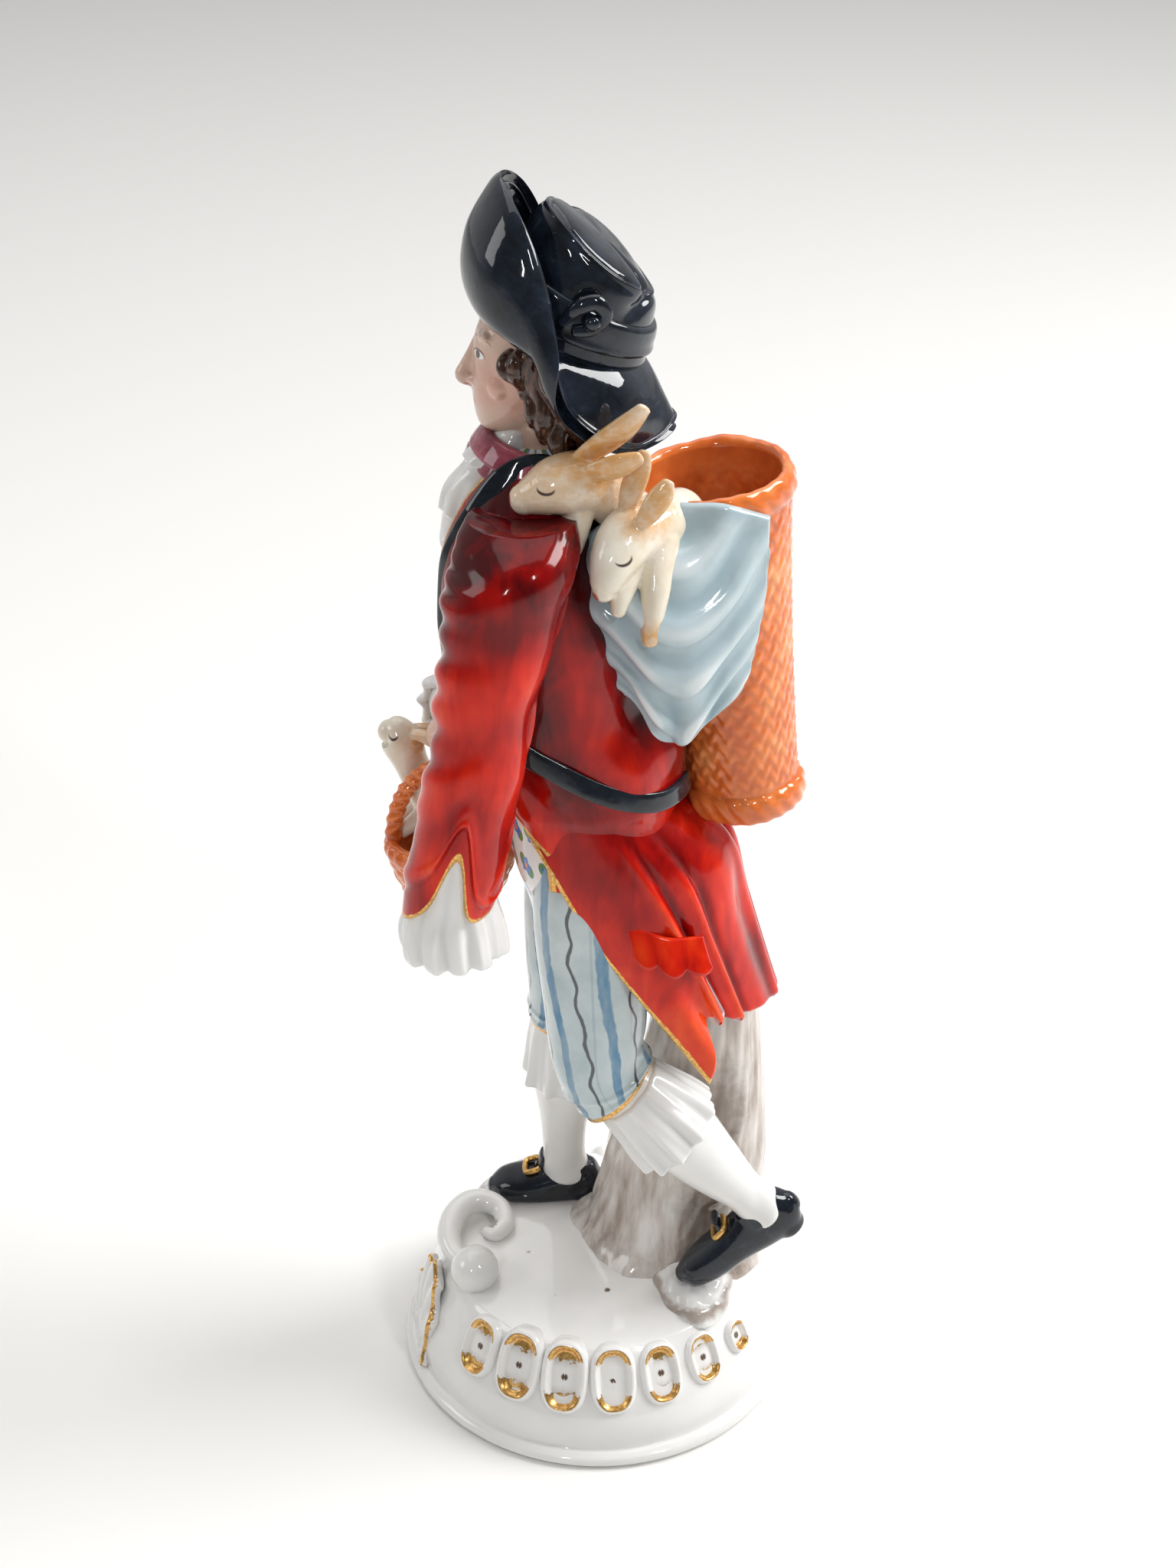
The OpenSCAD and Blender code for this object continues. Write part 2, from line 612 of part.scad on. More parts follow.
// ---- hat ----

hat_w = head_w * 23 / 18;
hat_d = head_d * 26 / 23;
crown_table = [[0, -4.8, 194, 1.0, 1.0, -22], [0, -4, 197.5, 0.98, 0.99, -24],
    [0, -2.2, 203, 0.94, 0.97, -32],
    [0, -0.6, 206.5, 0.88, 0.9, -40], [0, 0, 208, 0.74, 0.76, -42]];
module crown_solid() {
    limb(rows(crown_table, hat_w, hat_d), 2, 18);
}
// Brim: columns from the turned-up front round the left side to the back,
// each with its points from the head outwards
brim_half = [
    [[0, -14, 198.5], [0, -19.4, 202], [0, -19.2, 210], [0, -14.6, 218]],
    [[4.5, -13, 198], [6.5, -17.6, 200.5], [8, -16.8, 208], [6.8, -12.6, 214.8]],
    [[7.5, -10.5, 196.5], [11, -13.8, 198.5], [12.5, -12.6, 203], [12.2, -10, 206]],
    [[9, -6.5, 195], [12.6, -8.5, 195], [14.6, -8.6, 195.2], [15.4, -8, 195.6]],
    [[9, -1.5, 193], [12.8, -2.5, 190.5], [14.8, -3.4, 187], [15.4, -3.6, 184.6]],
    [[7, 3, 191], [9.6, 4.6, 187.5], [10.6, 5.6, 182], [10, 6, 177.6]]];
brim_back = [[0, 5.5, 190], [0, 8.4, 187], [0, 11, 182.4], [0, 12.6, 179.4]];
brim_columns = concat(brim_half, [brim_back],
    [for (i = [len(brim_half) - 1:-1:1]) [for (p = brim_half[i]) [-p[0], p[1], p[2] + (i > 3 ? 1.5 : 0)]]]);
brim_rows = [for (i = [0:3])
    smooth_loop([for (c = brim_columns) place([c[i][0] * head_w / 18, c[i][1], c[i][2]])], 2)];
brim_grid = turned([for (c = turned(brim_rows)) smooth(c, 2)]);
module brim_solid() {
    sheet(brim_grid, brim_wall, true);
}
module hat_crown() color([0.07, 0.08, 0.1]) cut() {
    crown_solid();
    brim_solid();
}
module hat_brim() color([0.07, 0.08, 0.1]) {
    brim_solid();
}

band_out = 0.9;
band_from = 195.6;
band_to = 201.4;
module hat_band() color([0.12, 0.12, 0.14]) cut() {
    limb([for (r = inset(smooth(rows(crown_table, hat_w, hat_d), 2), -band_out))
        if (r[2] > place([0, 0, band_from])[2] && r[2] < place([0, 0, band_to])[2]) r], 1, 18);
    crown_solid();
    brim_solid();
}

// ---- arms ----

left_arm = [[15.5, -12.5, 168, 0.95, 1.05, 0, 0], [20.5, -13.4, 163.5, 1.08, 1.2],
    [22.6, -15.6, 156, 1.06, 1.18], [24, -18, 143, 0.98, 1.0],
    [25, -20.6, 128, 0.95, 0.96], [25, -23.4, 113, 0.95, 0.98], [24.6, -25.4, 102, 1.0, 1.02, 12],
     [24.4, -26, 98.5, 0.96, 0.98, 16]];
right_arm = [[-15.5, -12.5, 168, 0.95, 1.05], [-20.5, -13.2, 163.5, 1.08, 1.2],
    [-22.8, -13.8, 156, 1.06, 1.16], [-25, -14, 142, 0.98, 1.0],
    [-26, -14.6, 129, 0.96, 1.0, -20, 6], [-24.6, -17.8, 120, 0.92, 0.96, -56, 30],
     [-20.8, -21.4, 116.4, 0.92, 0.92, -80, 50],
    [-17, -24, 115.4, 0.96, 0.96, -82, 54]];
// A thicker sleeve moves out from the body at the shoulder, and stays over the hand below
function arm_out(z) = (sleeve_d - 17) / 2 * lookup(z, [[120, 0], [165, 1]]);
module arm_of(table) {
    limb([for (r = rows(table, sleeve_d, sleeve_d))
        [r[0] + sign(r[0]) * arm_out((r[2] - ground_z) / k), r[1], r[2], r[3], r[4], r[5], r[6]]], 2, sides);
}
module left_sleeve() color([0.74, 0.1, 0.06]) cut() {
    arm_of(left_arm);
    coat_solid();
    collar_solid();
}
module right_sleeve() color([0.74, 0.1, 0.06]) cut() {
    arm_of(right_arm);
    coat_solid();
    collar_solid();
}

left_cuff = [[24.5, -25.2, 104, 0.8, 0.82, 10], [24.6, -25.4, 98, 1.0, 1.04, 8],
    [24.6, -25.2, 93, 0.96, 1.0, 4], [24.5, -24.8, 90.4, 0.82, 0.86, 2]];
right_cuff = [[-19.4, -22.4, 116, 0.78, 0.78, -82, 54], [-15.6, -25, 115.2, 0.92, 0.92, -84, 56],
    [-13.2, -26.4, 114.8, 0.8, 0.8, -84, 58]];
waves = 6;
wave_out = 0.03;           // how much deeper the waves get from ring to ring
module cuff_solid(table) {
    r = smooth(rows(table, sleeve_d, sleeve_d), 2);
    skin([for (i = [0:len(r) - 1]) swollen(r[i], 18, waves, wave_out * min(i, 3))]);
}
module left_cuff_frill() color([0.95, 0.95, 0.94]) cut() {
    cuff_solid(left_cuff);
    arm_of(left_arm);
    coat_skirt_solid();
    hand_solid(left_fist);
}
module right_cuff_frill() color([0.95, 0.95, 0.94]) cut() {
    cuff_solid(right_cuff);
    arm_of(right_arm);
    hand_solid(right_fist);
    handle_solid();
    hand_rabbit_solid();
}

hand_w = 8;
left_fist = [[24.6, -24.6, 95, 0.7, 0.8], [24.4, -24.2, 91, 0.9, 1.0], [24, -23.6, 88, 0.72, 0.84],
    [23.8, -23.2, 86.6, 0.3, 0.4]];
right_fist = [[-15.6, -25, 115.2, 0.7, 0.7, -84, 58], [-12.4, -26.6, 114.6, 0.85, 0.85, -86, 64],
    [-8.6, -27.6, 113.6, 1.0, 1.0, -88, 76],
    [-5, -27.8, 112.4, 0.95, 1.0, -88, 86], [-2.4, -27.6, 111.6, 0.4, 0.4, -88, 90]];
module hand_solid(table) {
    limb(rows(table, hand_w, hand_w), 2, 12);
}
module left_hand() color([0.9, 0.74, 0.62]) {
    hand_solid(left_fist);
}
module right_hand() color([0.9, 0.74, 0.62]) cut() {
    hand_solid(right_fist);
    handle_solid();
    hand_rabbit_solid();
}

// ---- carrying straps, laid on the coat ----

function coat_row(z) = let (t = rows(coat_table, chest_w, chest_d), zz = ground_z + z * k)
    [for (c = [0:4]) lookup(zz, [for (r = t) [r[2], r[c]]])];
function on_coat(z, a, out) = let (r = coat_row(z))
    [r[0] + (r[3] + out) * cos(a), r[1] + (r[4] + out) * sin(a), ground_z + z * k];
// Height and angle of the strap's middle: over the shoulder, down the chest, under the arm
// and round to the back
strap_route = [[150, 76], [164, 66], [172, 40], [174.4, 0], [171, -42], [160, -62], [146, -58], [134, -38],
    [126, -8], [117, 24], [113, 40]];
function unit(v) = v / norm(v);
module strap_solid() {
    n = len(strap_route);
    under = [for (r = strap_route) on_coat(r[0], r[1], -4)];
    top = [for (r = strap_route) on_coat(r[0], r[1], strap_t)];
    grid = [for (i = [0:n - 1]) let (
        along = top[min(i + 1, n - 1)] - top[max(i - 1, 0)],
        side = unit(cross(top[i] - under[i], along)))
        [for (j = [-1, -0.33, 0.33, 1]) top[i] + side * strap_w / 2 * j]];
    sheet(grid, strap_t + bury);
}
module left_strap() color([0.1, 0.1, 0.11]) cut() {
    strap_solid();
    coat_solid();
    arm_of(left_arm);
    collar_solid();
    back_basket_solid();
    cloth_solid();
    hair_solid();
    coat_skirt_solid();
}
module right_strap() color([0.1, 0.1, 0.11]) cut() {
    mirror([1, 0, 0]) strap_solid();
    coat_solid();
    arm_of(right_arm);
    collar_solid();
    back_basket_solid();
    hair_solid();
    coat_skirt_solid();
}

// ---- back basket, its cloth and its rabbits ----

basket_lean = 7;           // the basket leans towards the head
basket_x = -2;
basket_bottom_z = 105;
basket_gap = 9.5 * k;      // from the back of the coat to the basket at its foot
rim_r = basket_rim_d * k / 2;
low_r = basket_low_d * k / 2;
tall = basket_h * k;
// The basket stands against the back of the coat
back_y = coat_row(118)[1] + coat_row(118)[4];
// A wider basket moves away from the cloth and the rabbits at its corner, so that they stay put
basket_out = (rim_r - 14 * k) * 0.7;
basket_foot = [basket_x * k - basket_out, back_y + low_r + basket_gap + basket_out,
    ground_z + basket_bottom_z * k];
module basket_frame() {
    translate(basket_foot) rotate([basket_lean, 0, 0]) children();
}
floor_t = basket_wall + 1;
// Radius and height of the basket's side, from its foot to its rim
function basket_r(t) = low_r + (rim_r - low_r) * (t * 0.75 + t * t * 0.25);
function basket_z(t) = basket_foot_h + (tall - basket_foot_h) * t;
foot_roll = [for (a = [0:30:180])
    [basket_r(0) + basket_foot_out * sin(a), basket_foot_h / 2 * (1 - cos(a))]];
basket_side = [for (i = [1:8]) [basket_r(i / 8), basket_z(i / 8)]];
inside_side = [for (i = [1:8]) [basket_r(i / 8) - basket_wall, basket_z(i / 8)]];
module basket_outside() {
    rotate_extrude($fn = 48) polygon(concat([[0, 0]], foot_roll, basket_side, [[0, tall]]));
}
module back_basket_solid() {
    basket_frame() basket_outside();
}
module back_basket() color([0.85, 0.42, 0.2]) basket_frame() difference() {
    basket_outside();
    rotate_extrude($fn = 48) polygon(concat([[0, floor_t], [basket_r(0) - basket_wall, floor_t]],
        inside_side, [[basket_r(1) - basket_wall, tall + 1], [0, tall + 1]]));
}

rim = basket_foot + [0, -tall * sin(basket_lean), tall * cos(basket_lean)];
corner = rim + [basket_out, -basket_out, 0];
function by_rim(p) = corner + p * k;
cloth_rows = [
    [[15, -24, -6], [14.6, -18, -1.5], [12.4, -11, 1.6], [14.4, -5, 1.8], [15, 2, 1.5], [11.5, 9.6, -2]],
    [[16, -24.4, -15], [21, -18.4, -12], [23.4, -11.5, -11.5], [22.5, -4.5, -12], [18.2, 3.5, -13.5],
     [12.6, 9.4, -16]],
    [[17, -19.5, -26], [21.6, -14.5, -25.5], [23.8, -9.5, -26], [23, -3.5, -26], [18.8, 2.5, -26.5],
     [13.2, 7.5, -27]],
    [[17.6, -15, -30.5], [20, -11, -36], [21.4, -7, -39.5], [21, -4.5, -40], [19, 0.5, -37],
     [14.6, 5.5, -32]]];
module cloth_solid() {
    sheet(surface_of([for (r = cloth_rows) [for (p = r) by_rim(p)]], 2, 2), cloth_wall + bury);
}
module basket_cloth() color([0.74, 0.82, 0.84]) cut() {
    cloth_solid();
    back_basket_solid();
    coat_solid();
    arm_of(left_arm);
    rabbit_solid(upper_rabbit_rows);
    rabbit_solid(lower_rabbit_rows);
}

// Rabbits: one limb for body and head, two ears and two paws each; places from the basket rim
upper_rabbit_rows = [
    [[10, -13, -3, 4.6, 4.6, 30, 0], [12.5, -17.5, 2.5, 4.4, 4.4, 45, 0],
     [14.5, -21.5, 5.6, 4.9, 4.6, 60, 0], [16, -26.2, 4.8, 4.2, 3.9, 84, 0],
     [16.8, -30.4, 2.8, 2.4, 2.3, 96, 0], [17, -32, 2, 1, 1, 100, 0]],
    [[13.2, -23.5, 8.5, 1.3, 1.0, -62, 0], [12.4, -19.5, 10.6, 2.1, 1.2, -62, 0],
     [11.4, -16, 12.4, 1.6, 1, -62, 0], [10.6, -13.2, 13.8, 0.5, 0.4, -62, 0]],
    [[17, -22.5, 7.6, 1.3, 1.0, -92, 0], [18, -18.8, 7.4, 2.1, 1.2, -98, 0],
     [18.4, -15.6, 6.8, 1.6, 1, -102, 0], [18.4, -13.6, 6.2, 0.5, 0.4, -102, 0]],
    [[15.5, -21.5, 3, 2.4, 2.4, 0, 0], [17.4, -23.5, -5.5, 1.9, 1.9, 0, 0],
     [18, -24.6, -8.2, 1, 1, 0, 0]]];
lower_rabbit_rows = [
    [[9, -5.5, -3, 4.6, 4.8, 60, 40], [14, -9.5, -2.5, 5.2, 5.2, 70, 40],
     [19.2, -14, -2.2, 4.9, 4.9, 80, 50], [22.6, -16.4, -4.6, 4.2, 4.2, 110, 60],
     [24.6, -17.8, -8.2, 2.5, 2.4, 130, 60], [25, -18.2, -9.6, 1.1, 1, 136, 60]],
    [[19, -15, 1.6, 1.3, 1.1, -20, 0], [18.4, -13.6, 5.4, 2.1, 1.3, -20, 0],
     [17.6, -12.3, 9, 1.5, 1, -20, 0], [17.2, -11.4, 11.6, 0.5, 0.4, -20, 0]],
    [[22, -12.4, 0.6, 1.3, 1.1, -30, 0], [22, -10.4, 3.8, 2.0, 1.3, -30, 0],
     [21.6, -8.6, 6.6, 1.4, 1, -30, 0], [21.4, -7.6, 8.4, 0.5, 0.4, -30, 0]],
    [[17.4, -9, -4, 3.2, 3.2, 0, 0], [22.4, -9.6, -10, 2.5, 2.5, 0, 0],
     [23.8, -10.2, -15.5, 1.9, 1.9, 0, 0], [24, -10.4, -18.6, 1, 1, 0, 0]],
    [[20, -13, -6, 2.2, 2.2, 0, 0], [23.2, -15, -10.5, 1.8, 1.8, 0, 0], [24, -15.6, -13, 0.9, 0.9, 0, 0]]];
// The first limb is the body, with more rings and sides than the ears and paws
module animal(parts, at) {
    for (i = [0:len(parts) - 1])
        limb([for (r = parts[i]) [each at + [r[0], r[1], r[2]] * k, r[3] * k, r[4] * k, r[5], r[6]]],
            i == 0 ? 2 : 1, i == 0 ? 12 : 8);
}
module rabbit_solid(parts) {
    animal(parts, corner);
}
module upper_rabbit() color([0.88, 0.72, 0.48]) cut() {
    rabbit_solid(upper_rabbit_rows);
    back_basket_solid();
    coat_solid();
    arm_of(left_arm);
    rabbit_solid(lower_rabbit_rows);
    strap_solid();
    hair_solid();
    brim_solid();
}
module lower_rabbit() color([0.9, 0.8, 0.62]) cut() {
    rabbit_solid(lower_rabbit_rows);
    back_basket_solid();
    coat_solid();
    arm_of(left_arm);
}

// ---- hand basket, its handle and its rabbit ----

hand_basket_at = place([-6, -27.2, 82]);
bowl_h = hand_basket_h * k;
function bowl(t, inset) = [0, 0, bowl_h * t,
    (hand_basket_w * k / 2 - inset) * (0.74 + 0.26 * sin(90 * t)),
    (hand_basket_l * k / 2 - inset) * (0.76 + 0.24 * sin(90 * t)), 0, 0];
bowl_steps = [0, 0.4, 0.8, 1];
module bowl_solid() {
    translate(hand_basket_at) limb([for (t = bowl_steps) bowl(t, 0)], 1, 22);
}
// Room inside the bowl, open above by the given share of its height
module bowl_room(above) {
    translate(hand_basket_at + [0, 0, basket_wall])
        limb([for (t = concat(bowl_steps, [1 + above])) bowl(t, basket_wall)], 1, 22);
}
module hand_basket() color([0.78, 0.42, 0.26]) cut() {
    bowl_solid();
    bowl_room(0.01);
    trunk_solid();
    breeches(right_thigh);
    breeches(left_thigh);
}
// Arched handle from the front of the rim to the back
handle_sink = 0.5;         // how far the handle's ends go down beside the rim
handle_flat = 0.8;         // depth of the handle as a share of its width
module handle_solid() {
    span = hand_basket_l * k / 2 - basket_wall / 2;
    translate(hand_basket_at + [0, 0, bowl_h - handle_sink]) limb([for (a = [0:22.5:180])
        [0, -span * cos(a), handle_rise * k * sin(a), handle_d / 2, handle_d / 2 * handle_flat, -a, 0]],
        2, 10);
}
module basket_handle() color([0.62, 0.38, 0.3]) cut() {
    handle_solid();
    bowl_solid();
    trunk_solid();
}
hand_rabbit_rows = [
    [[-1.6, 2, 3, 4.6, 4.8, 0, 0], [-3, 0, 10, 4, 4.4, 10, 0], [-4.8, -4.4, 18, 3.2, 3.8, 25, 0],
     [-5.4, -7, 24, 3, 3.4, 25, 0],
     [-5.8, -8.4, 28.4, 3.8, 4, 50, 0], [-5.8, -9.8, 31, 3.6, 3.7, 75, 0],
      [-5.8, -11, 31.4, 2.4, 2.2, 84, 0],
     [-5.8, -11.7, 31.2, 0.9, 0.9, 90, 0]],
    [[-4.2, -7.4, 32, 1.2, 1, -110, 0], [-3.8, -4, 30.8, 2, 1.2, -115, 0],
     [-3.6, -1, 28.4, 1.6, 1.1, -130, 0], [-3.6, 0.6, 26.2, 0.5, 0.5, -145, 0]],
    [[-7.4, -7.4, 31.8, 1.2, 1, -110, 0], [-8, -4, 30.6, 2, 1.2, -115, 0],
     [-8.4, -1, 28, 1.6, 1.1, -130, 0], [-8.6, 0.6, 26, 0.5, 0.5, -145, 0]]];
module hand_rabbit_solid() {
    animal(hand_rabbit_rows, hand_basket_at);
}
module hand_rabbit() color([0.78, 0.62, 0.4]) cut() {
    hand_rabbit_solid();
    handle_solid();
    difference() {
        translate(hand_basket_at - [0, 0, 1]) cylinder(r = hand_basket_l * k, h = bowl_h + 1, $fn = 16);
        bowl_room(0.4);
    }
}

// ---- nodes ----

base();
left_cartouches();
right_cartouches();
front_shell();
scroll();
ball();
ground_rock();
tree_stump();
right_stocking();
left_stocking();
right_knee_frill();
left_knee_frill();
right_shoe();
left_shoe();
right_buckle();
left_buckle();
right_breeches_leg();
left_breeches_leg();
waistcoat();
coat_body();
coat_skirt();
left_pocket_flap();
right_pocket_flap();
collar();
neckcloth();
left_sleeve();
right_sleeve();
left_cuff_frill();
right_cuff_frill();
left_hand();
right_hand();
left_strap();
right_strap();
head();
hair();
hair_ribbon();
hat_crown();
hat_brim();
hat_band();
back_basket();
basket_cloth();
upper_rabbit();
lower_rabbit();
hand_basket();
basket_handle();
hand_rabbit();
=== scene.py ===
# %% [markdown]
# A porcelain figurine of a pedlar, about 24 cm tall. The real one is slip-cast and
# pressed in many small moulds, stuck together with wet slip, fired, glazed, painted
# with enamel colours and gilding, and fired again. That order is followed here:
# each piece is modelled first, then "glazed" with its own procedural material.
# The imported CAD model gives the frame, so it is loaded before anything else.

# %% Load the frame
import math
import bpy
import numpy as np
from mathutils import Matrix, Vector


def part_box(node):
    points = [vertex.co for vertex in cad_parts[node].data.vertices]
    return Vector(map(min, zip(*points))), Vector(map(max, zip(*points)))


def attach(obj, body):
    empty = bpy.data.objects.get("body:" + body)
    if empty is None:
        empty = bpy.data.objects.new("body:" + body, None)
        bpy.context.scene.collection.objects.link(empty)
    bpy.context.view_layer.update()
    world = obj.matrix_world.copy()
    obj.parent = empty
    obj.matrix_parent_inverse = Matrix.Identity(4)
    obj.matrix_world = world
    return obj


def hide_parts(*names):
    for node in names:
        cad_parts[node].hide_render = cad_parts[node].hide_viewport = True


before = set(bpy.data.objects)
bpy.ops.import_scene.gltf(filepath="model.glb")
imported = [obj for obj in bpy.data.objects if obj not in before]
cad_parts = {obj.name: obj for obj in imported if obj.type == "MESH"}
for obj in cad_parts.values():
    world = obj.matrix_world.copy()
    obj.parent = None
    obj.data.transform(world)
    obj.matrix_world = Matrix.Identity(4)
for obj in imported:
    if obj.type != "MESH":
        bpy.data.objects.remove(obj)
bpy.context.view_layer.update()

MM = 0.001

# %% [markdown]
# Two numbers tie every drawing below to the frame: the height of the ground on top of
# the base, and how tall the figure is compared with the size it is drawn at. Drawings
# are in millimetres, with z counted up from that ground, so `placed` turns them into
# places in the frame. If the CAD model were made taller, every piece would follow.

# %% Scale and place of the drawings
base_low, base_high = (np.array(corner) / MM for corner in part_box("base"))
GROUND_RISE = 1.2
DRAWN_TOP = 219.2
GROUND = base_high[2] - GROUND_RISE
BASE_R = (base_high[0] - base_low[0]) / 2
K = (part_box("hat_brim")[1].z / MM - GROUND) / DRAWN_TOP


def placed(points):
    return np.asarray(points, float) * K + [0, 0, GROUND]


print(f"ground at {GROUND:.2f} mm, base radius {BASE_R:.2f} mm, drawn size x {K:.3f}")

# %% [markdown]
# Everything here is soft and rounded, as clay leaves it, so outlines are drawn with
# few points and a smooth curve runs through them. A Catmull-Rom curve is handy for
# that: it passes through every point, and it works on whole rows of points at once.

# %% Smooth curves
TURN = 2 * math.pi


def through(rows, at, closed=False):
    """Rows of points, read at fractional places along the list."""
    rows = np.asarray(rows, float)
    at = np.asarray(at, float)
    i = np.floor(at).astype(int)
    if not closed:
        i = np.clip(i, 0, len(rows) - 2)

    def pick(step):
        k = i + step
        return rows[k % len(rows)] if closed else rows[np.clip(k, 0, len(rows) - 1)]

    f = (at - i).reshape((-1,) + (1,) * (rows.ndim - 1))
    a, b, c, d = (pick(step) for step in (-1, 0, 1, 2))
    return 0.5 * (2 * b + (c - a) * f + (2 * a - 5 * b + 4 * c - d) * f ** 2
                  + (3 * b - a - 3 * c + d) * f ** 3)


def ridge(x, width):
    """A smooth bump of height 1 at x = 0."""
    return np.exp(-(x / width) ** 2)


def ramp(x, start, end):
    """0 before start, 1 after end, smooth between."""
    t = np.clip((x - start) / (end - start), 0, 1)
    return t * t * (3 - 2 * t)


print("a curve through 0, 1, 4, 9, half way from 1 to 4:", through([[0], [1], [4], [9]], [1.5])[0, 0])

# %% [markdown]
# Most pieces are one of three kinds. A limb is a stack of rings, such as an arm or a
# tree stump. A sheet is a thin wall, such as a coat skirt or a hat brim. A rope is a
# round or flat bar along a path, such as a handle or a finger. Each kind is a grid of
# points, and a grid can be pushed in and out along its own surface to model folds.

# %% Limbs: stacks of rings
def limb(table, girth, rings=90, sides=96, square=2.0):
    """Grid of a limb. Each row of the table: x, y, z, half width, half depth, tilt, turn."""
    wide, deep = girth if isinstance(girth, tuple) else (girth, girth)
    rows = np.array([list(r) + [0] * (7 - len(r)) for r in table], float)
    rows[:, :3] = placed(rows[:, :3])
    rows[:, 3] *= wide / 2
    rows[:, 4] *= deep / 2
    x, y, z, w, d, tilt, turn = through(rows, np.linspace(0, len(rows) - 1, rings)).T[:, :, None]
    a = np.linspace(0, TURN, sides, endpoint=False)
    u = w * np.sign(np.cos(a)) * abs(np.cos(a)) ** (2 / square)
    v = d * np.sign(np.sin(a)) * abs(np.sin(a)) ** (2 / square)
    tilt, turn = np.radians(tilt), np.radians(turn)
    return np.stack([x + u * np.cos(turn) - v * np.sin(turn) * np.cos(tilt),
                     y + u * np.sin(turn) + v * np.cos(turn) * np.cos(tilt),
                     z + v * np.sin(tilt)], -1)


def lay_of(grid):
    """How far along a limb (0 to 1) and round it (0 to 1) each point of its grid is."""
    rings, sides = grid.shape[:2]
    return np.linspace(0, 1, rings)[:, None], (np.arange(sides) / sides)[None, :]


def outward(grid, closed=True, side=None):
    """Unit normal at each point of a grid: away from the middle of each ring, or as side (1, -1) says."""
    along = np.gradient(grid, axis=0)
    across = np.roll(grid, -1, 1) - np.roll(grid, 1, 1) if closed else np.gradient(grid, axis=1)
    n = np.cross(along, across)
    n /= np.maximum(np.linalg.norm(n, axis=-1, keepdims=True), 1e-9)
    if side is None:
        side = -1 if closed and (n * (grid - grid.mean(1, keepdims=True))).sum() < 0 else 1
    return n * side


def swell(grid, amount, closed=True, side=None):
    """The grid, pushed out along its own surface by an amount in mm."""
    return grid + outward(grid, closed, side) * np.broadcast_to(amount, grid.shape[:2])[..., None]


print("a plain limb as rings, sides, xyz:", limb([[0, 0, 0, 1, 1], [0, 0, 10, 1, 1]], 5).shape)

# %% [markdown]
# A rope needs to know which way is "up" as it goes along, or a flat strap would twist.
# One fixed reference direction is enough for these short paths.

# %% Ropes: bars along a path
def rope(path, radius, up=(0, 0, 1), flat=1.0, rings=40, sides=24):
    """Grid of a bar along points in place, with a radius at each point, flattened along up."""
    path = np.asarray(path, float)
    radius = np.broadcast_to(np.asarray(radius, float), len(path))
    at = np.linspace(0, len(path) - 1, rings)
    centre = through(path, at)
    r = np.maximum(through(radius[:, None], at), 0.02)
    run = np.gradient(centre, axis=0)
    side = np.cross(run, np.asarray(up, float))
    side /= np.maximum(np.linalg.norm(side, axis=1, keepdims=True), 1e-9)
    top = np.cross(side, run)
    top /= np.maximum(np.linalg.norm(top, axis=1, keepdims=True), 1e-9)
    a = np.linspace(0, TURN, sides, endpoint=False)[None, :, None]
    return centre[:, None] + r[:, None] * (np.cos(a) * side[:, None] + flat * np.sin(a) * top[:, None])


print("a plain rope as rings, sides, xyz:", rope([[0, 0, 0], [5, 0, 0], [10, 0, 0]], 1).shape)

# %% [markdown]
# A grid becomes a closed mesh by rounding off its two ends. Paint follows the form, so
# each point may carry marks, which are plain numbers such as its distance from a hem;
# the materials read them later through Attribute nodes.

# %% Closed meshes from grids
def closed_tube(grid, marks=None, dome=0.5, steps=6):
    """Points, faces and marks of a limb or rope with a rounded cap on each end."""
    marks = {k: np.broadcast_to(v, grid.shape[:2]) for k, v in (marks or {}).items()}
    caps = []
    for end, inner in ((0, 1), (-1, -2)):
        ring, centre = grid[end], grid[end].mean(0)
        axis = centre - grid[inner].mean(0)
        axis /= max(np.linalg.norm(axis), 1e-9)
        reach = np.linalg.norm(ring - centre, axis=1).min() * dome
        a = np.linspace(0, math.pi / 2, steps + 1)[1:-1, None, None]
        caps.append((centre + (ring - centre) * np.cos(a) + axis * reach * np.sin(a), centre + axis * reach))
    body = np.concatenate([caps[0][0][::-1], grid, caps[1][0]])
    rings, sides = body.shape[:2]
    points = np.concatenate([body.reshape(-1, 3), [caps[0][1], caps[1][1]]])
    i, j = np.meshgrid(np.arange(rings - 1), np.arange(sides), indexing="ij")
    m = (j + 1) % sides
    quads = np.stack([i * sides + j, i * sides + m, (i + 1) * sides + m, (i + 1) * sides + j], -1)
    j = np.arange(sides)
    m, top = (j + 1) % sides, (rings - 1) * sides
    low = np.stack([m, j, np.full(sides, rings * sides)], -1)
    high = np.stack([top + j, top + m, np.full(sides, rings * sides + 1)], -1)
    faces = quads.reshape(-1, 4).tolist() + low.tolist() + high.tolist()
    extra = steps - 1
    spread = {k: np.concatenate([np.repeat(v[:1], extra, 0), v, np.repeat(v[-1:], extra, 0)]).ravel()
              for k, v in marks.items()}
    spread = {k: np.append(v, [v[0], v[-1]]) for k, v in spread.items()}
    return points, facing_out(points, faces), spread


def facing_out(points, faces):
    """The faces, turned over if the solid they close is inside out."""
    tri = np.array([f[:3] for f in faces] + [[f[0], f[2], f[3]] for f in faces if len(f) == 4])
    a, b, c = points[tri[:, 0]], points[tri[:, 1]], points[tri[:, 2]]
    return faces if (a * np.cross(b, c)).sum() > 0 else [f[::-1] for f in faces]


print("a plain rope, closed:", len(closed_tube(rope([[0, 0, 0], [5, 0, 0], [10, 0, 0]], 1))[1]), "faces")

# %% [markdown]
# A fired sheet of clay has a rounded lip, never a sharp cut. The wall is therefore
# thinned to nothing along an ellipse over its last half thickness, and the rows of
# points crowd towards the edges, where that curve needs them.

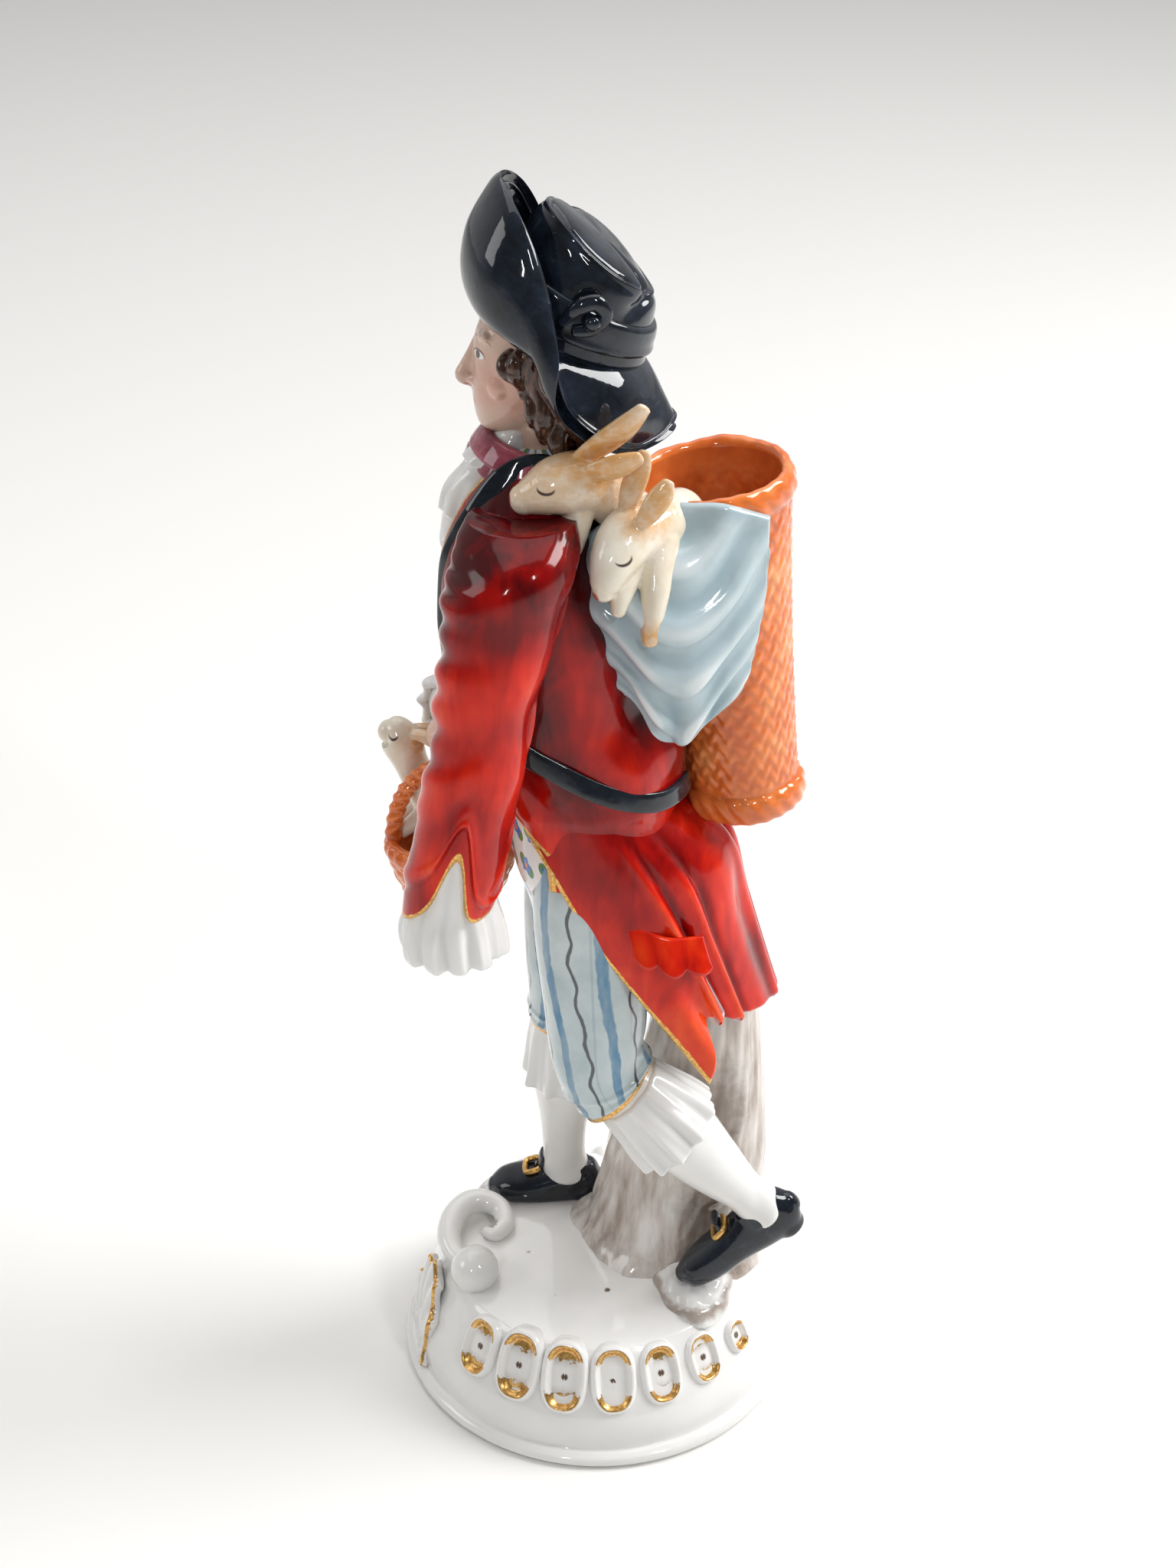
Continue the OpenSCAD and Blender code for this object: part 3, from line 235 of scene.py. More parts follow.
# %% Sheets: thin walls with a rounded lip
def spaced(count):
    """Places from 0 to 1 that crowd towards both ends."""
    return (1 - np.cos(np.linspace(0, math.pi, count))) / 2


def drawn_sheet(control, rows=80, cols=110, closed=False):
    """Smooth grid through a few rows of control points, and its lay (down, across)."""
    control = np.asarray(control, float)
    down, across = spaced(rows), np.arange(cols) / cols if closed else spaced(cols)
    spans = control.shape[1] - (0 if closed else 1)
    grid = through(np.swapaxes(control, 0, 1), across * spans, closed)
    grid = through(np.swapaxes(grid, 0, 1), down * (control.shape[0] - 1))
    return grid, down[:, None], across[None, :]


def run_lengths(grid, axis):
    """Distance from each of the two edges across one direction of a grid."""
    step = np.linalg.norm(np.diff(grid, axis=axis), axis=-1)
    run = np.cumsum(step, axis=axis)
    zero = np.zeros_like(np.take(run, [0], axis))
    run = np.concatenate([zero, run], axis)
    return run, np.take(run, [-1], axis) - run


def closed_sheet(grid, wall, closed=False, marks=None, side=None):
    """Points, faces and marks of a wall whose outer face is the grid."""
    rows, cols = grid.shape[:2]
    n = outward(grid, closed, side)
    top, hem = run_lengths(grid, 0)
    edge = np.minimum(top, hem)
    left = right = np.full((rows, cols), 99.0)
    if not closed:
        left, right = run_lengths(grid, 1)
        edge = np.minimum(edge, np.minimum(left, right))
    lip = np.clip(1 - edge / (wall / 2), 0, 1)
    half = wall / 2 * np.sqrt(1 - lip ** 2)
    middle = grid - n * wall / 2
    outer, inner = middle + n * half[..., None], middle - n * half[..., None]
    index = np.arange(rows * cols).reshape(rows, cols)
    back = index + rows * cols
    for rim in ((0, slice(None)), (-1, slice(None))) + (() if closed else ((slice(None), 0), (slice(None), -1))):
        back[rim] = index[rim]
    i, j = np.meshgrid(np.arange(rows - 1), np.arange(cols if closed else cols - 1), indexing="ij")
    m = (j + 1) % cols
    front_faces = np.stack([index[i, j], index[i + 1, j], index[i + 1, m], index[i, m]], -1).reshape(-1, 4)
    back_faces = np.stack([back[i, m], back[i + 1, m], back[i + 1, j], back[i, j]], -1).reshape(-1, 4)
    points = np.concatenate([outer.reshape(-1, 3), inner.reshape(-1, 3)])
    marks = dict(marks or {}, hem=hem, side_edge=np.minimum(left, right), outside=1.0)
    spread = {}
    for k, v in marks.items():
        v = np.broadcast_to(v, (rows, cols)).ravel()
        spread[k] = np.concatenate([v, v * (0 if k == "outside" else 1)])
    faces = np.concatenate([front_faces, back_faces])
    used, faces = np.unique(faces, return_inverse=True)
    faces = faces.reshape(-1, 4).tolist()
    return points[used], facing_out(points[used], faces), {k: v[used] for k, v in spread.items()}


print("six places crowding towards the edges:", spaced(6).round(2))

# %% [markdown]
# A piece is one or several such shells in one object. Small soft things, such as a
# rabbit or a hand, are built from overlapping shells and then melted together: a voxel
# remesh makes one skin of them, and smoothing softens the joins as slip and glaze do.

# %% Pieces
ROOT = "root"


def piece(name, shells, material, nodes, melt=None, soften=0, shape=None):
    """One object from shells; melt is a voxel size in mm, shape a last push on its points."""
    points, faces, marks, start = [], [], {}, 0
    for p, f, m in shells:
        for k in set(marks) | set(m):
            marks.setdefault(k, [np.zeros(start)])
            marks[k].append(m.get(k, np.zeros(len(p))))
        points.append(p)
        faces += (np.array(start) + f).tolist() if isinstance(f, np.ndarray) else [[start + i for i in q] for q in f]
        start += len(p)
    mesh = bpy.data.meshes.new(name)
    mesh.from_pydata((np.concatenate(points) * MM).tolist(), [], faces)
    ob = bpy.data.objects.new(name, mesh)
    bpy.context.scene.collection.objects.link(ob)
    if melt:
        melted(ob, melt, soften)
    else:
        for k, v in marks.items():
            mesh.attributes.new(k, "FLOAT", "POINT").data.foreach_set("value", np.concatenate(v).astype(np.float32))
    if shape:
        reshaped(ob, shape)
    ob.data.shade_smooth()
    ob.data.materials.append(material)
    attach(ob, ROOT)
    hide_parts(*nodes)
    print(f"{name}: {len(ob.data.polygons)} faces")
    return ob


def melted(ob, voxel, soften):
    """Replaces the object's mesh by one skin round all its shells."""
    skin = ob.modifiers.new("skin", "REMESH")
    skin.mode = "VOXEL"
    skin.voxel_size = voxel * MM
    if soften:
        smooth = ob.modifiers.new("soften", "SMOOTH")
        smooth.factor = 0.5
        smooth.iterations = soften
    made = bpy.data.meshes.new_from_object(ob.evaluated_get(bpy.context.evaluated_depsgraph_get()))
    ob.modifiers.clear()
    ob.data = made


def reshaped(ob, shape):
    """Moves each point by shape(points, normals), both in millimetres."""
    mesh = ob.data
    points, normals = (np.zeros(len(mesh.vertices) * 3) for _ in range(2))
    mesh.vertices.foreach_get("co", points)
    mesh.vertices.foreach_get("normal", normals)
    moved = shape(points.reshape(-1, 3) / MM, normals.reshape(-1, 3))
    mesh.vertices.foreach_set("co", (moved * MM).ravel())
    mesh.update()


def ball(centre, radii, sides=32):
    """Shell of an ellipsoid."""
    a = np.linspace(0, TURN, sides, endpoint=False)
    b = np.linspace(-math.pi / 2, math.pi / 2, sides // 2 + 1)[1:-1, None]
    shape = np.stack([np.cos(b) * np.cos(a), np.cos(b) * np.sin(a), np.sin(b) + 0 * a], -1)
    return closed_tube(np.asarray(centre, float) + shape * np.asarray(radii, float), dome=0.05, steps=3)


print("pieces ride on the body", ROOT)

# %% [markdown]
# Glaze is glass on clay: a sharp, colourless reflection over whatever colour lies
# beneath. A Principled shader does that with low roughness plus a clear coat. Enamel
# is brushed on by hand, so its colour is never even, and its surface is a little wavy.
# The small class below builds such node trees in a few readable lines. All patterns
# are laid out in the frame's own millimetres, or along the marks of the mesh.

# %% Paint kit
GLAZE_ROUGH, GOLD_ROUGH, GOLD_METAL = 0.1, 0.3, 0.85


class Enamel:
    """A glazed material under construction."""

    def __init__(self, name, roughness=GLAZE_ROUGH, coat=0.4, index=1.45):
        self.material = bpy.data.materials.new(name)
        self.material.use_nodes = True
        self.tree = self.material.node_tree
        self.shader = self.tree.nodes["Principled BSDF"]
        self.shader.inputs["Roughness"].default_value = roughness
        self.shader.inputs["Coat Weight"].default_value = coat
        self.shader.inputs["Coat Roughness"].default_value = 0.03
        self.shader.inputs["IOR"].default_value = index
        place = self.put("ShaderNodeTexCoord").outputs["Object"]
        self.mm = self.put("ShaderNodeVectorMath", {0: place, "Scale": 1 / MM}, operation="SCALE").outputs[0]

    def put(self, kind, sockets=None, **settings):
        node = self.tree.nodes.new(kind)
        for k, v in settings.items():
            setattr(node, k, v)
        for k, v in (sockets or {}).items():
            self.feed(node.inputs[k], v)
        return node

    def feed(self, socket, value):
        if isinstance(value, bpy.types.NodeSocket):
            self.tree.links.new(value, socket)
        elif isinstance(value, tuple) and len(value) == 3 and socket.type == "RGBA":
            socket.default_value = (*value, 1)
        else:
            socket.default_value = value

    def calc(self, operation, a, b=0.0, clamp=False):
        return self.put("ShaderNodeMath", {0: a, 1: b}, operation=operation, use_clamp=clamp).outputs[0]

    def mark(self, name):
        return self.put("ShaderNodeAttribute", attribute_name=name).outputs["Fac"]

    def map(self, value, start, end, low=0.0, high=1.0):
        return self.put("ShaderNodeMapRange", {0: value, 1: start, 2: end, 3: low, 4: high},
                        interpolation_type="SMOOTHSTEP").outputs[0]

    def noise(self, size, stretch=(1, 1, 1), detail=3.0, rough=0.55, warp=0.0):
        """Noise from 0 to 1 with features of about the given size in mm."""
        scaled = self.put("ShaderNodeMapping", {0: self.mm, 3: tuple(1 / (size * s) for s in stretch)}).outputs[0]
        return self.put("ShaderNodeTexNoise", {"Vector": scaled, "Scale": 1.0, "Detail": detail,
                                               "Roughness": rough, "Distortion": warp}).outputs["Fac"]

    def blend(self, factor, a, b):
        """Colour a where the factor is 0, b where it is 1."""
        node = self.put("ShaderNodeMix", data_type="RGBA")
        self.feed(node.inputs[0], factor)
        self.feed(node.inputs[6], a)
        self.feed(node.inputs[7], b)
        return node.outputs[2]

    def shades(self, value, *stops):
        """Colour ramp through (place, colour) stops."""
        node = self.put("ShaderNodeValToRGB", {0: value})
        ramp_stops = node.color_ramp.elements
        while len(ramp_stops) < len(stops):
            ramp_stops.new(0.5)
        for stop, (at, colour) in zip(ramp_stops, stops):
            stop.position = at
            stop.color = (*colour, 1)
        return node.outputs[0]

    def spot(self, centre, radii, soft=0.15, wobble=None):
        """1 inside an ellipsoid at a place in mm, 0 outside."""
        local = self.put("ShaderNodeMapping", {0: self.mm, 1: tuple(float(c) for c in centre),
                                               3: tuple(float(r) for r in radii)}, vector_type="TEXTURE").outputs[0]
        far = self.put("ShaderNodeVectorMath", {0: local}, operation="LENGTH").outputs["Value"]
        if wobble is not None:
            far = self.calc("ADD", far, wobble)
        return self.map(far, 1 + soft, 1 - soft)

    def line(self, value, at, half_width, soft=0.3):
        """1 within half_width of a value, 0 further off."""
        off = self.calc("ABSOLUTE", self.calc("SUBTRACT", value, at))
        return self.map(off, half_width * (1 + soft), half_width * (1 - soft))

    def gold(self):
        """Colour of brushed gold, worn unevenly."""
        return self.shades(self.noise(0.5, detail=4.0), (0.3, (0.42, 0.2, 0.045)), (0.55, (0.75, 0.44, 0.13)),
                           (0.75, (0.9, 0.62, 0.26)))

    def done(self, colour, gilt=None, bump=0.02, ripple=2.5):
        """Links the colour, turns the gilt mask into brushed gold and adds the wavy surface."""
        if gilt is not None:
            colour = self.blend(gilt, colour, self.gold())
            self.feed(self.shader.inputs["Metallic"], self.calc("MULTIPLY", gilt, GOLD_METAL))
            rough = self.calc("ADD", self.calc("MULTIPLY", gilt, GOLD_ROUGH - GLAZE_ROUGH), GLAZE_ROUGH)
            self.feed(self.shader.inputs["Roughness"], rough)
        self.feed(self.shader.inputs["Base Color"], colour)
        wave = self.calc("MULTIPLY", self.noise(ripple, detail=1.0), bump)
        normal = self.put("ShaderNodeBump", {"Height": wave, "Distance": MM, "Strength": 1.0}).outputs[0]
        self.feed(self.shader.inputs["Normal"], normal)
        self.feed(self.shader.inputs["Coat Normal"], normal)
        return self.material


print("glaze roughness", GLAZE_ROUGH, "and gold roughness", GOLD_ROUGH)

# %% [markdown]
# Plain white porcelain comes first, because every painted piece shows it somewhere. It is a faintly warm white. Glaze
# runs thin on ridges and pools grey-blue in hollows, and the same grey also lays painted shade into the hollows. A
# few iron specks always burn out as brown dots. There are so few of them that each is listed one by one, as a small
# round spot with an uneven edge; the same kind of spot, in grey, lays painted shade into the curl of the scroll.

# %% White glaze
WHITE = (0.84, 0.83, 0.81)
POOLED_AND_SHADED = (0.68, 0.69, 0.69)


def white_colour(enamel):
    """Base colour of glazed white porcelain, greyer in hollows: pooled glaze plus painted shade."""
    cloud = enamel.noise(9, detail=2.0)
    colour = enamel.shades(cloud, (0.3, (0.8, 0.79, 0.77)), (0.7, WHITE))
    return enamel.blend(enamel.calc("MULTIPLY", enamel.mark("pool"), 0.6, clamp=True), colour, POOLED_AND_SHADED)


def white_glaze(name="white porcelain glaze", gilt=None, spots=()):
    e = Enamel(name)
    colour = white_colour(e)
    # Each spot is a dab of colour: brown iron specks, and grey dabs, one of which is painted shade in the curl of the
    # scroll.
    for centre, radius, tint in spots:
        dab_mask = e.spot(centre, (radius,) * 3, soft=0.4, wobble=e.map(e.noise(0.7), 0, 1, -0.4, 0.4))
        colour = e.blend(dab_mask, colour, tint)
    return e.done(colour, gilt=gilt(e) if gilt else None)


white = white_glaze()
print("white glaze ready")

# %% [markdown]
# The red enamel is the strongest colour. It is iron red over glaze: where the brush carried much of it the coat is
# nearly black wine, where it is thin the colour burns orange. So the ramp runs from one to the other along noise
# stretched down the cloth. It is also pushed darker in folds, as pooled enamel plus painted shade, and darker high up
# and lighter low down, as painted shade and painted light by height. Tiny worn flecks show the ground.

# %% Red enamel with gilt edges
BRUSH_STROKE = (1.6, 1.6, 5)


def red_enamel(name, gilt=None, bright_from=200, bright_to=125, lining=False, wear=()):
    """Red from dark wine at height bright_from to orange at bright_to, in mm: painted shade high up, painted light
    low down.
    """
    e = Enamel(name, roughness=0.07, coat=0.0, index=1.37)
    height = e.put("ShaderNodeSeparateXYZ", {0: e.mm}).outputs[2]
    low = e.map(height, bright_from, bright_to)
    brush = e.noise(3.2, stretch=BRUSH_STROKE, detail=5.0, rough=0.6, warp=0.6)
    cloud = e.noise(13, detail=2.0)
    thickness_and_light = e.calc("ADD", e.calc("MULTIPLY", brush, 0.75), e.calc("MULTIPLY", cloud, 0.75))
    # The height ramp adds painted shade high up and painted light low down.
    thickness_and_light = e.calc("ADD", e.calc("SUBTRACT", thickness_and_light, 0.53), e.calc("MULTIPLY", low, 0.5))
    # Folds are pushed darker: pooled enamel plus painted shade.
    thickness_and_light = e.calc("SUBTRACT", thickness_and_light, e.calc("MULTIPLY", e.mark("pool"), 0.42), clamp=True)
    colour = e.shades(thickness_and_light, (0.0, (0.06, 0.001, 0.002)), (0.22, (0.2, 0.002, 0.002)), (0.42, (0.38, 0.005, 0.003)),
                      (0.68, (0.66, 0.018, 0.004)), (1.0, (0.86, 0.08, 0.012)))
    for centre, radii in wear:
        worn = e.spot(centre, radii, soft=0.5)
        flecks = e.map(e.noise(0.55, detail=4.0, rough=0.7), 0.5, 0.58)
        colour = e.blend(e.calc("MULTIPLY", worn, flecks), colour, (0.42, 0.16, 0.15))
    mask = gilt(e) if gilt else None
    if lining:
        inside = e.calc("SUBTRACT", 1.0, e.map(e.mark("outside"), 0.35, 0.65))
        colour = e.blend(inside, colour, white_colour(e))
    return e.done(colour, gilt=mask, bump=0.035, ripple=3.5)


def gilt_edge(mark, start, end):
    """Mask of a brushed gold line between two distances from an edge."""
    def mask(e):
        wander = e.map(e.noise(1.6, detail=2.0), 0, 1, -0.22, 0.22)
        off = e.calc("ADD", e.mark(mark), wander)
        band = e.calc("MULTIPLY", e.map(off, end + 0.1, end - 0.1), e.map(off, start - 0.1, start + 0.1))
        return e.calc("MULTIPLY", band, e.map(e.mark("outside"), 0.2, 0.6))
    return mask


print("red enamel: strokes stretched", BRUSH_STROKE[2] / BRUSH_STROKE[0], "times down the cloth")

# %% [markdown]
# The camera stands on the figure's left side and looks down on it. It comes early, so
# that each new piece can be looked at as soon as it is made.

# %% Camera
CAMERA_PITCH = 31
camera = bpy.data.objects.new("camera", bpy.data.cameras.new("camera"))
bpy.context.scene.collection.objects.link(camera)
camera.location = (0.3615, -0.002, 0.348)
camera.rotation_euler = (math.radians(90 - CAMERA_PITCH), 0, math.radians(90))
camera.data.lens = 54.1
camera.data.clip_start = 0.01
bpy.context.scene.camera = camera
bpy.context.scene.view_settings.view_transform = "Standard"
print("the camera looks down by", CAMERA_PITCH, "degrees")

# %% [markdown]
# The studio is one large soft light behind, on the figure's other side, and a wide one
# overhead. Two narrow strips stand on the camera's side: those give the long bright
# streaks that tell the eye a surface is glazed. The surroundings are pale behind the
# figure and darker behind the camera, or deep colours would drown in white reflections.

# %% Lights
def aimed(ob, target):
    """Turns a light to look at a place."""
    direction = np.asarray(target, float) - np.asarray(ob.location)
    flat = math.hypot(direction[0], direction[1])
    ob.rotation_euler = (math.atan2(flat, -direction[2]), 0, math.atan2(direction[0], -direction[1]) + math.pi)


def soft_light(name, place, target, size, power):
    data = bpy.data.lights.new(name, "AREA")
    data.shape = "RECTANGLE"
    data.size, data.size_y = size
    data.energy = power
    ob = bpy.data.objects.new(name, data)
    ob.location = place
    aimed(ob, target)
    bpy.context.scene.collection.objects.link(ob)


CHEST = (0, 0, 0.13)
soft_light("key softbox", (-0.1, 0.75, 0.8), CHEST, (0.5, 0.45), 10)
soft_light("ceiling", (-0.5, 0, 1.3), CHEST, (1.4, 1.4), 7.5)
soft_light("front fill", (0.1, -0.9, 0.6), CHEST, (0.4, 0.4), 1.6)
soft_light("streak window", (0.55, 0.42, 0.75), CHEST, (0.04, 0.2), 1.5)
soft_light("high streak", (0.8, -0.25, 0.6), CHEST, (0.03, 0.16), 1.1)

world = bpy.data.worlds.new("studio")
world.use_nodes = True
sky = world.node_tree.nodes
direction = sky.new("ShaderNodeTexCoord")
parts = sky.new("ShaderNodeSeparateXYZ")
darker = sky.new("ShaderNodeMapRange")
darker.interpolation_type = "SMOOTHSTEP"
BEHIND, CAMERA_SIDE = 0.55, 0.13
for socket, value in ((1, -0.5), (2, 0.5), (3, BEHIND), (4, CAMERA_SIDE)):
    darker.inputs[socket].default_value = value
world.node_tree.links.new(direction.outputs["Generated"], parts.inputs[0])
world.node_tree.links.new(parts.outputs[0], darker.inputs[0])
world.node_tree.links.new(darker.outputs[0], sky["Background"].inputs[1])
sky["Background"].inputs[0].default_value = (1, 1, 1, 1)
bpy.context.scene.world = world
print("five soft lights, and surroundings from", BEHIND, "to", CAMERA_SIDE)

# %% [markdown]
# The figure stands on a plain off-white table, which is not part of it. Its top is
# slightly rough, so it takes a soft shadow and hardly reflects.

# %% Table
table_material = bpy.data.materials.new("white table")
table_material.use_nodes = True
table_shader = table_material.node_tree.nodes["Principled BSDF"]
table_shader.inputs["Base Color"].default_value = (0.84, 0.83, 0.81, 1)
table_shader.inputs["Roughness"].default_value = 0.55
bpy.ops.mesh.primitive_plane_add(size=8)
table = bpy.context.object
table.name = "table"
table.data.materials.append(table_material)
print("the table is 8 m wide")

# %% [markdown]
# The base is thrown or cast round, with a flared skirt, a shoulder and a gently domed
# ground. Lathe work is a profile turned round an axis: here the profile also goes
# under the foot ring, into the recess, through the vent hole and round the hollow, so
# the base is one closed wall. Slow waves round it keep it from looking machined.

# %% Base
base_h = GROUND
FOOT_RING, RECESS, WALL, VENT_R = 3.2, 1.4, 3.0, 3.0
SLOPE_R, SHOULDER_R, FLARE = BASE_R - 2.2, 31.1, 3.4


def slope_at(z):
    """Radius of the sloping side at a height."""
    t = min(max((z - FLARE) / (base_h - 3 - FLARE), 0), 1)
    return SLOPE_R + (SHOULDER_R - SLOPE_R) * (t - 0.35 * math.sin(math.pi * t) * (1 - t))


side_profile = [(slope_at(z), z) for z in np.linspace(FLARE, base_h - 3, 6)]
base_profile = ([(0, base_high[2]), (9, base_high[2] - 0.15), (19, base_high[2] - 0.6), (27.6, base_h - 0.15),
                 (29.6, base_h - 0.9)] + side_profile[::-1] + [(BASE_R - 1.2, 2.9), (BASE_R - 0.25, 2.2),
                 (BASE_R, 1.2), (BASE_R - 0.5, 0.3), (BASE_R - 1.4, 0), (BASE_R - FOOT_RING, 0.1),
                 (BASE_R - FOOT_RING - 0.6, RECESS), (20, RECESS + 0.1), (VENT_R + 0.4, RECESS),
                 (VENT_R, RECESS + 0.5), (VENT_R, RECESS + WALL), (20, RECESS + WALL + 0.1),
                 (BASE_R - 7, RECESS + WALL + 0.4), (SHOULDER_R - 2, base_h - WALL - 2), (20, base_h - WALL),
                 (0, base_h - WALL)])
profile = through(base_profile, np.linspace(0, len(base_profile) - 1, 190))
angles = np.linspace(0, TURN, 288, endpoint=False)
radius, level = profile[:, 0:1], profile[:, 1:2]
outside = (np.arange(190) < 110)[:, None]
lumpy = 0.22 * np.sin(3 * angles + 1) * ramp(level, 6, 14) + 0.12 * np.sin(11 * angles) * ramp(level, 9, 20)
radius = np.maximum(radius, 0.01) + np.where(outside & (radius > 20), lumpy * ramp(radius, BASE_R, BASE_R - 3), 0)
level = level + np.where(outside & (level > base_h - 1), 0.3 * np.sin(2 * angles + 0.6) * ramp(radius, 30, 22)
                         * ramp(radius, 3, 12), 0)
base_grid = np.stack([radius * np.cos(angles), radius * np.sin(angles), level + 0 * angles], -1)
BROWN = (0.16, 0.1, 0.065)
ground_specks = [((14.5, 1.8, 23), 0.55, BROWN), ((15.5, -8.5, 23), 0.4, BROWN), ((9, 9.5, 23), 0.5, BROWN),
                 ((3, -14, 23), 0.5, BROWN), ((-14, 6, 23), 0.5, BROWN), ((30, -24, 9), 0.5, (0.3, 0.28, 0.27))]
piece("glazed_base", [closed_tube(base_grid, dome=0.01, steps=2)], white_glaze("ground glaze", spots=ground_specks),
      ["base"])

# %% [markdown]
# Seven cartouches a side are pressed in little moulds and stuck on: each is a raised
# white rim round a sunk plaque, with gold brushed in at its two ends and a brown dot in
# the middle. One profile, from the outer foot of the rim to the middle of the plaque,
# is carried round a squarish oval; the same function makes all fourteen.

# %% Cartouches
PANEL_W, PANEL_L, PANEL_OUT = 9.4, 14.5, 1.5
FIRST_PANEL, PANEL_STEP = -45, 16.7
PANEL_SHARES = (0.86, 1, 1, 0.95, 0.86, 0.72, 0.46)
RIM_PROFILE = [(1.04, -2.2), (1.02, -0.4), (0.98, 0.7), (0.88, 1.35), (0.76, 1.45), (0.66, 1.05), (0.58, 0.55),
               (0.48, 0.42), (0.25, 0.5), (0.02, 0.56)]
lean = math.atan2(slope_at(8) - slope_at(base_h - 3), base_h - 11)


def rotated(points, axis, angle):
    c, s = math.cos(angle), math.sin(angle)
    i, j = {"x": (1, 2), "y": (2, 0), "z": (0, 1)}[axis]
    out = np.array(points, float)
    out[..., i] = points[..., i] * c - points[..., j] * s
    out[..., j] = points[..., i] * s + points[..., j] * c
    return out


def cartouche(share, turn, mirror):
    w = PANEL_W / 2 * (0.25 + 0.75 * share)
    l = PANEL_L / 2 * share
    rim = through(RIM_PROFILE, np.linspace(0, len(RIM_PROFILE) - 1, 34))
    a = np.linspace(0, TURN, 72, endpoint=False)
    power = 2 / 2.6
    half_w = w * rim[:, 0:1]
    half_l = np.maximum(l - w * (1 - rim[:, 0:1]), l * 0.02)
    u = half_w * np.sign(np.cos(a)) * abs(np.cos(a)) ** power
    v = half_l * np.sign(np.sin(a)) * abs(np.sin(a)) ** power
    grid = np.stack([u, v, rim[:, 1:2] * PANEL_OUT / 1.5 + 0 * a], -1)
    marks = {"toward_end": abs(v) / l, "share_out": rim[:, 0:1] + 0 * a, "from_middle": np.hypot(u, v)}
    grid = rotated(grid, "z", math.pi / 2)
    grid = rotated(grid, "y", math.pi / 2 - lean)
    mid = base_h + 1 - (1.4 - share * 0.4) * PANEL_L / 2 * math.cos(lean)
    grid = rotated(grid + [slope_at(mid) - 0.3, 0, mid], "z", math.radians(turn))
    return closed_tube(grid * [mirror, 1, 1], marks, dome=0.02, steps=2)


def plaque_gold(e):
    reach = e.calc("ADD", e.mark("toward_end"), e.map(e.noise(0.8, detail=3.0), 0, 1, -0.16, 0.16))
    inside = e.map(e.mark("share_out"), 0.84, 0.8)
    return e.calc("MULTIPLY", e.map(reach, 0.42, 0.5), inside)


def cartouche_glaze():
    e = Enamel("cartouche glaze")
    colour = white_colour(e)
    # The sunk plaque turns brown-grey towards its ends, next to the gold.
    brown_towards_ends = e.calc("MULTIPLY", e.map(e.mark("toward_end"), 0.2, 0.5), e.map(e.mark("share_out"), 0.62, 0.5))
    colour = e.blend(e.calc("MULTIPLY", brown_towards_ends, 0.5), colour, (0.45, 0.38, 0.34))
    colour = e.blend(e.map(e.mark("from_middle"), 0.85, 0.5), colour, (0.12, 0.075, 0.05))
    return e.done(colour, gilt=plaque_gold(e))


plaque_paint = cartouche_glaze()
for side, mirror in (("left", 1), ("right", -1)):
    shells = [cartouche(share, FIRST_PANEL + i * PANEL_STEP, mirror) for i, share in enumerate(PANEL_SHARES)]
    piece(f"{side}_cartouche_row", shells, plaque_paint, [f"{side}_cartouches"])

# %% [markdown]
# A ribbed shell leans against the front of the base. It is a fan: ribs run out from
# its foot, and its outline and thickness both rise and fall with them. Its edge is
# gilt. The fan is drawn as a sheet across the angle and out along the ribs.

# %% Shell
SHELL_R, SHELL_H, SHELL_TURN, SHELL_LEAN, RIBS = 9.3, 19.2, 9, 19, 6
fan, out = np.meshgrid(np.linspace(0, math.pi, 150), spaced(70))
rib = np.cos(2 * RIBS * fan)
reach = 0.12 + 0.88 * out
edge_wave = 1 + 0.06 * rib * out
shell_grid = np.stack([SHELL_R * reach * edge_wave * np.cos(fan),
                       -(0.8 + 2.4 * np.sin(math.pi * out * 0.62) * np.sin(fan) ** 0.5 + 0.4 * rib * out),
                       SHELL_H * reach * edge_wave * np.sin(fan)], -1)
shell_grid = rotated(shell_grid, "x", math.radians(-SHELL_LEAN)) + [0, -BASE_R + 2.9, 2.5]
shell_grid = rotated(shell_grid, "z", math.radians(SHELL_TURN))
piece("rococo_shell", [closed_sheet(shell_grid, 2.4, marks={"pool": 0.5 - 0.5 * rib})],
      white_glaze("shell glaze", gilt=gilt_edge("hem", 0.15, 1.0)), ["front_shell"])

# %% [markdown]
# The C scroll and the ball beside it are rolled by hand and stuck on with slip. The
# scroll is a rope that thickens in its middle and curls at both ends.

# %% Scroll and ball
SCROLL_R = 2.5
scroll_path = np.array([[6.2, -27.2, 1.2], [3.4, -29.2, 1.4], [-0.5, -30.2, 2.2], [-5, -29.3, 3], [-8.6, -26.6, 3.4],
                        [-9.4, -23, 3.2], [-7.6, -19.9, 2.6], [-4, -18.9, 1.9], [-1.5, -20.6, 1.4], [-2.4, -22.4, 1]])
scroll_girth = np.array([0.62, 0.8, 0.95, 1, 1, 0.95, 0.86, 0.78, 0.66, 0.5]) * SCROLL_R
# A grey spot in the inner curl, where the scroll meets the ground, is painted shade.
piece("c_scroll", [closed_tube(rope(scroll_path + [0, 0, base_h], scroll_girth, rings=90, sides=32), dome=0.9)],
      white_glaze("scroll glaze", spots=[((-3, -21, 24), 1.3, (0.33, 0.3, 0.28))]), ["scroll"])
ball_low, ball_high = (np.array(c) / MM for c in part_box("ball"))
ball_r = (ball_high[0] - ball_low[0]) / 2
ball_middle = np.append((ball_low + ball_high)[:2] / 2, ball_high[2] - ball_r)
piece("applied_ball", [ball(ball_middle, (ball_r,) * 3, 56)], white, ["ball"])

# %% [markdown]
# The tree stump holds the figure up while it is fired, so it is thick and plain: bark
# in long soft ridges, a flare of roots, a few knots, and a thin grey-brown wash that
# the glaze has pulled into streaks. Knots are given as height, way round and swelling.

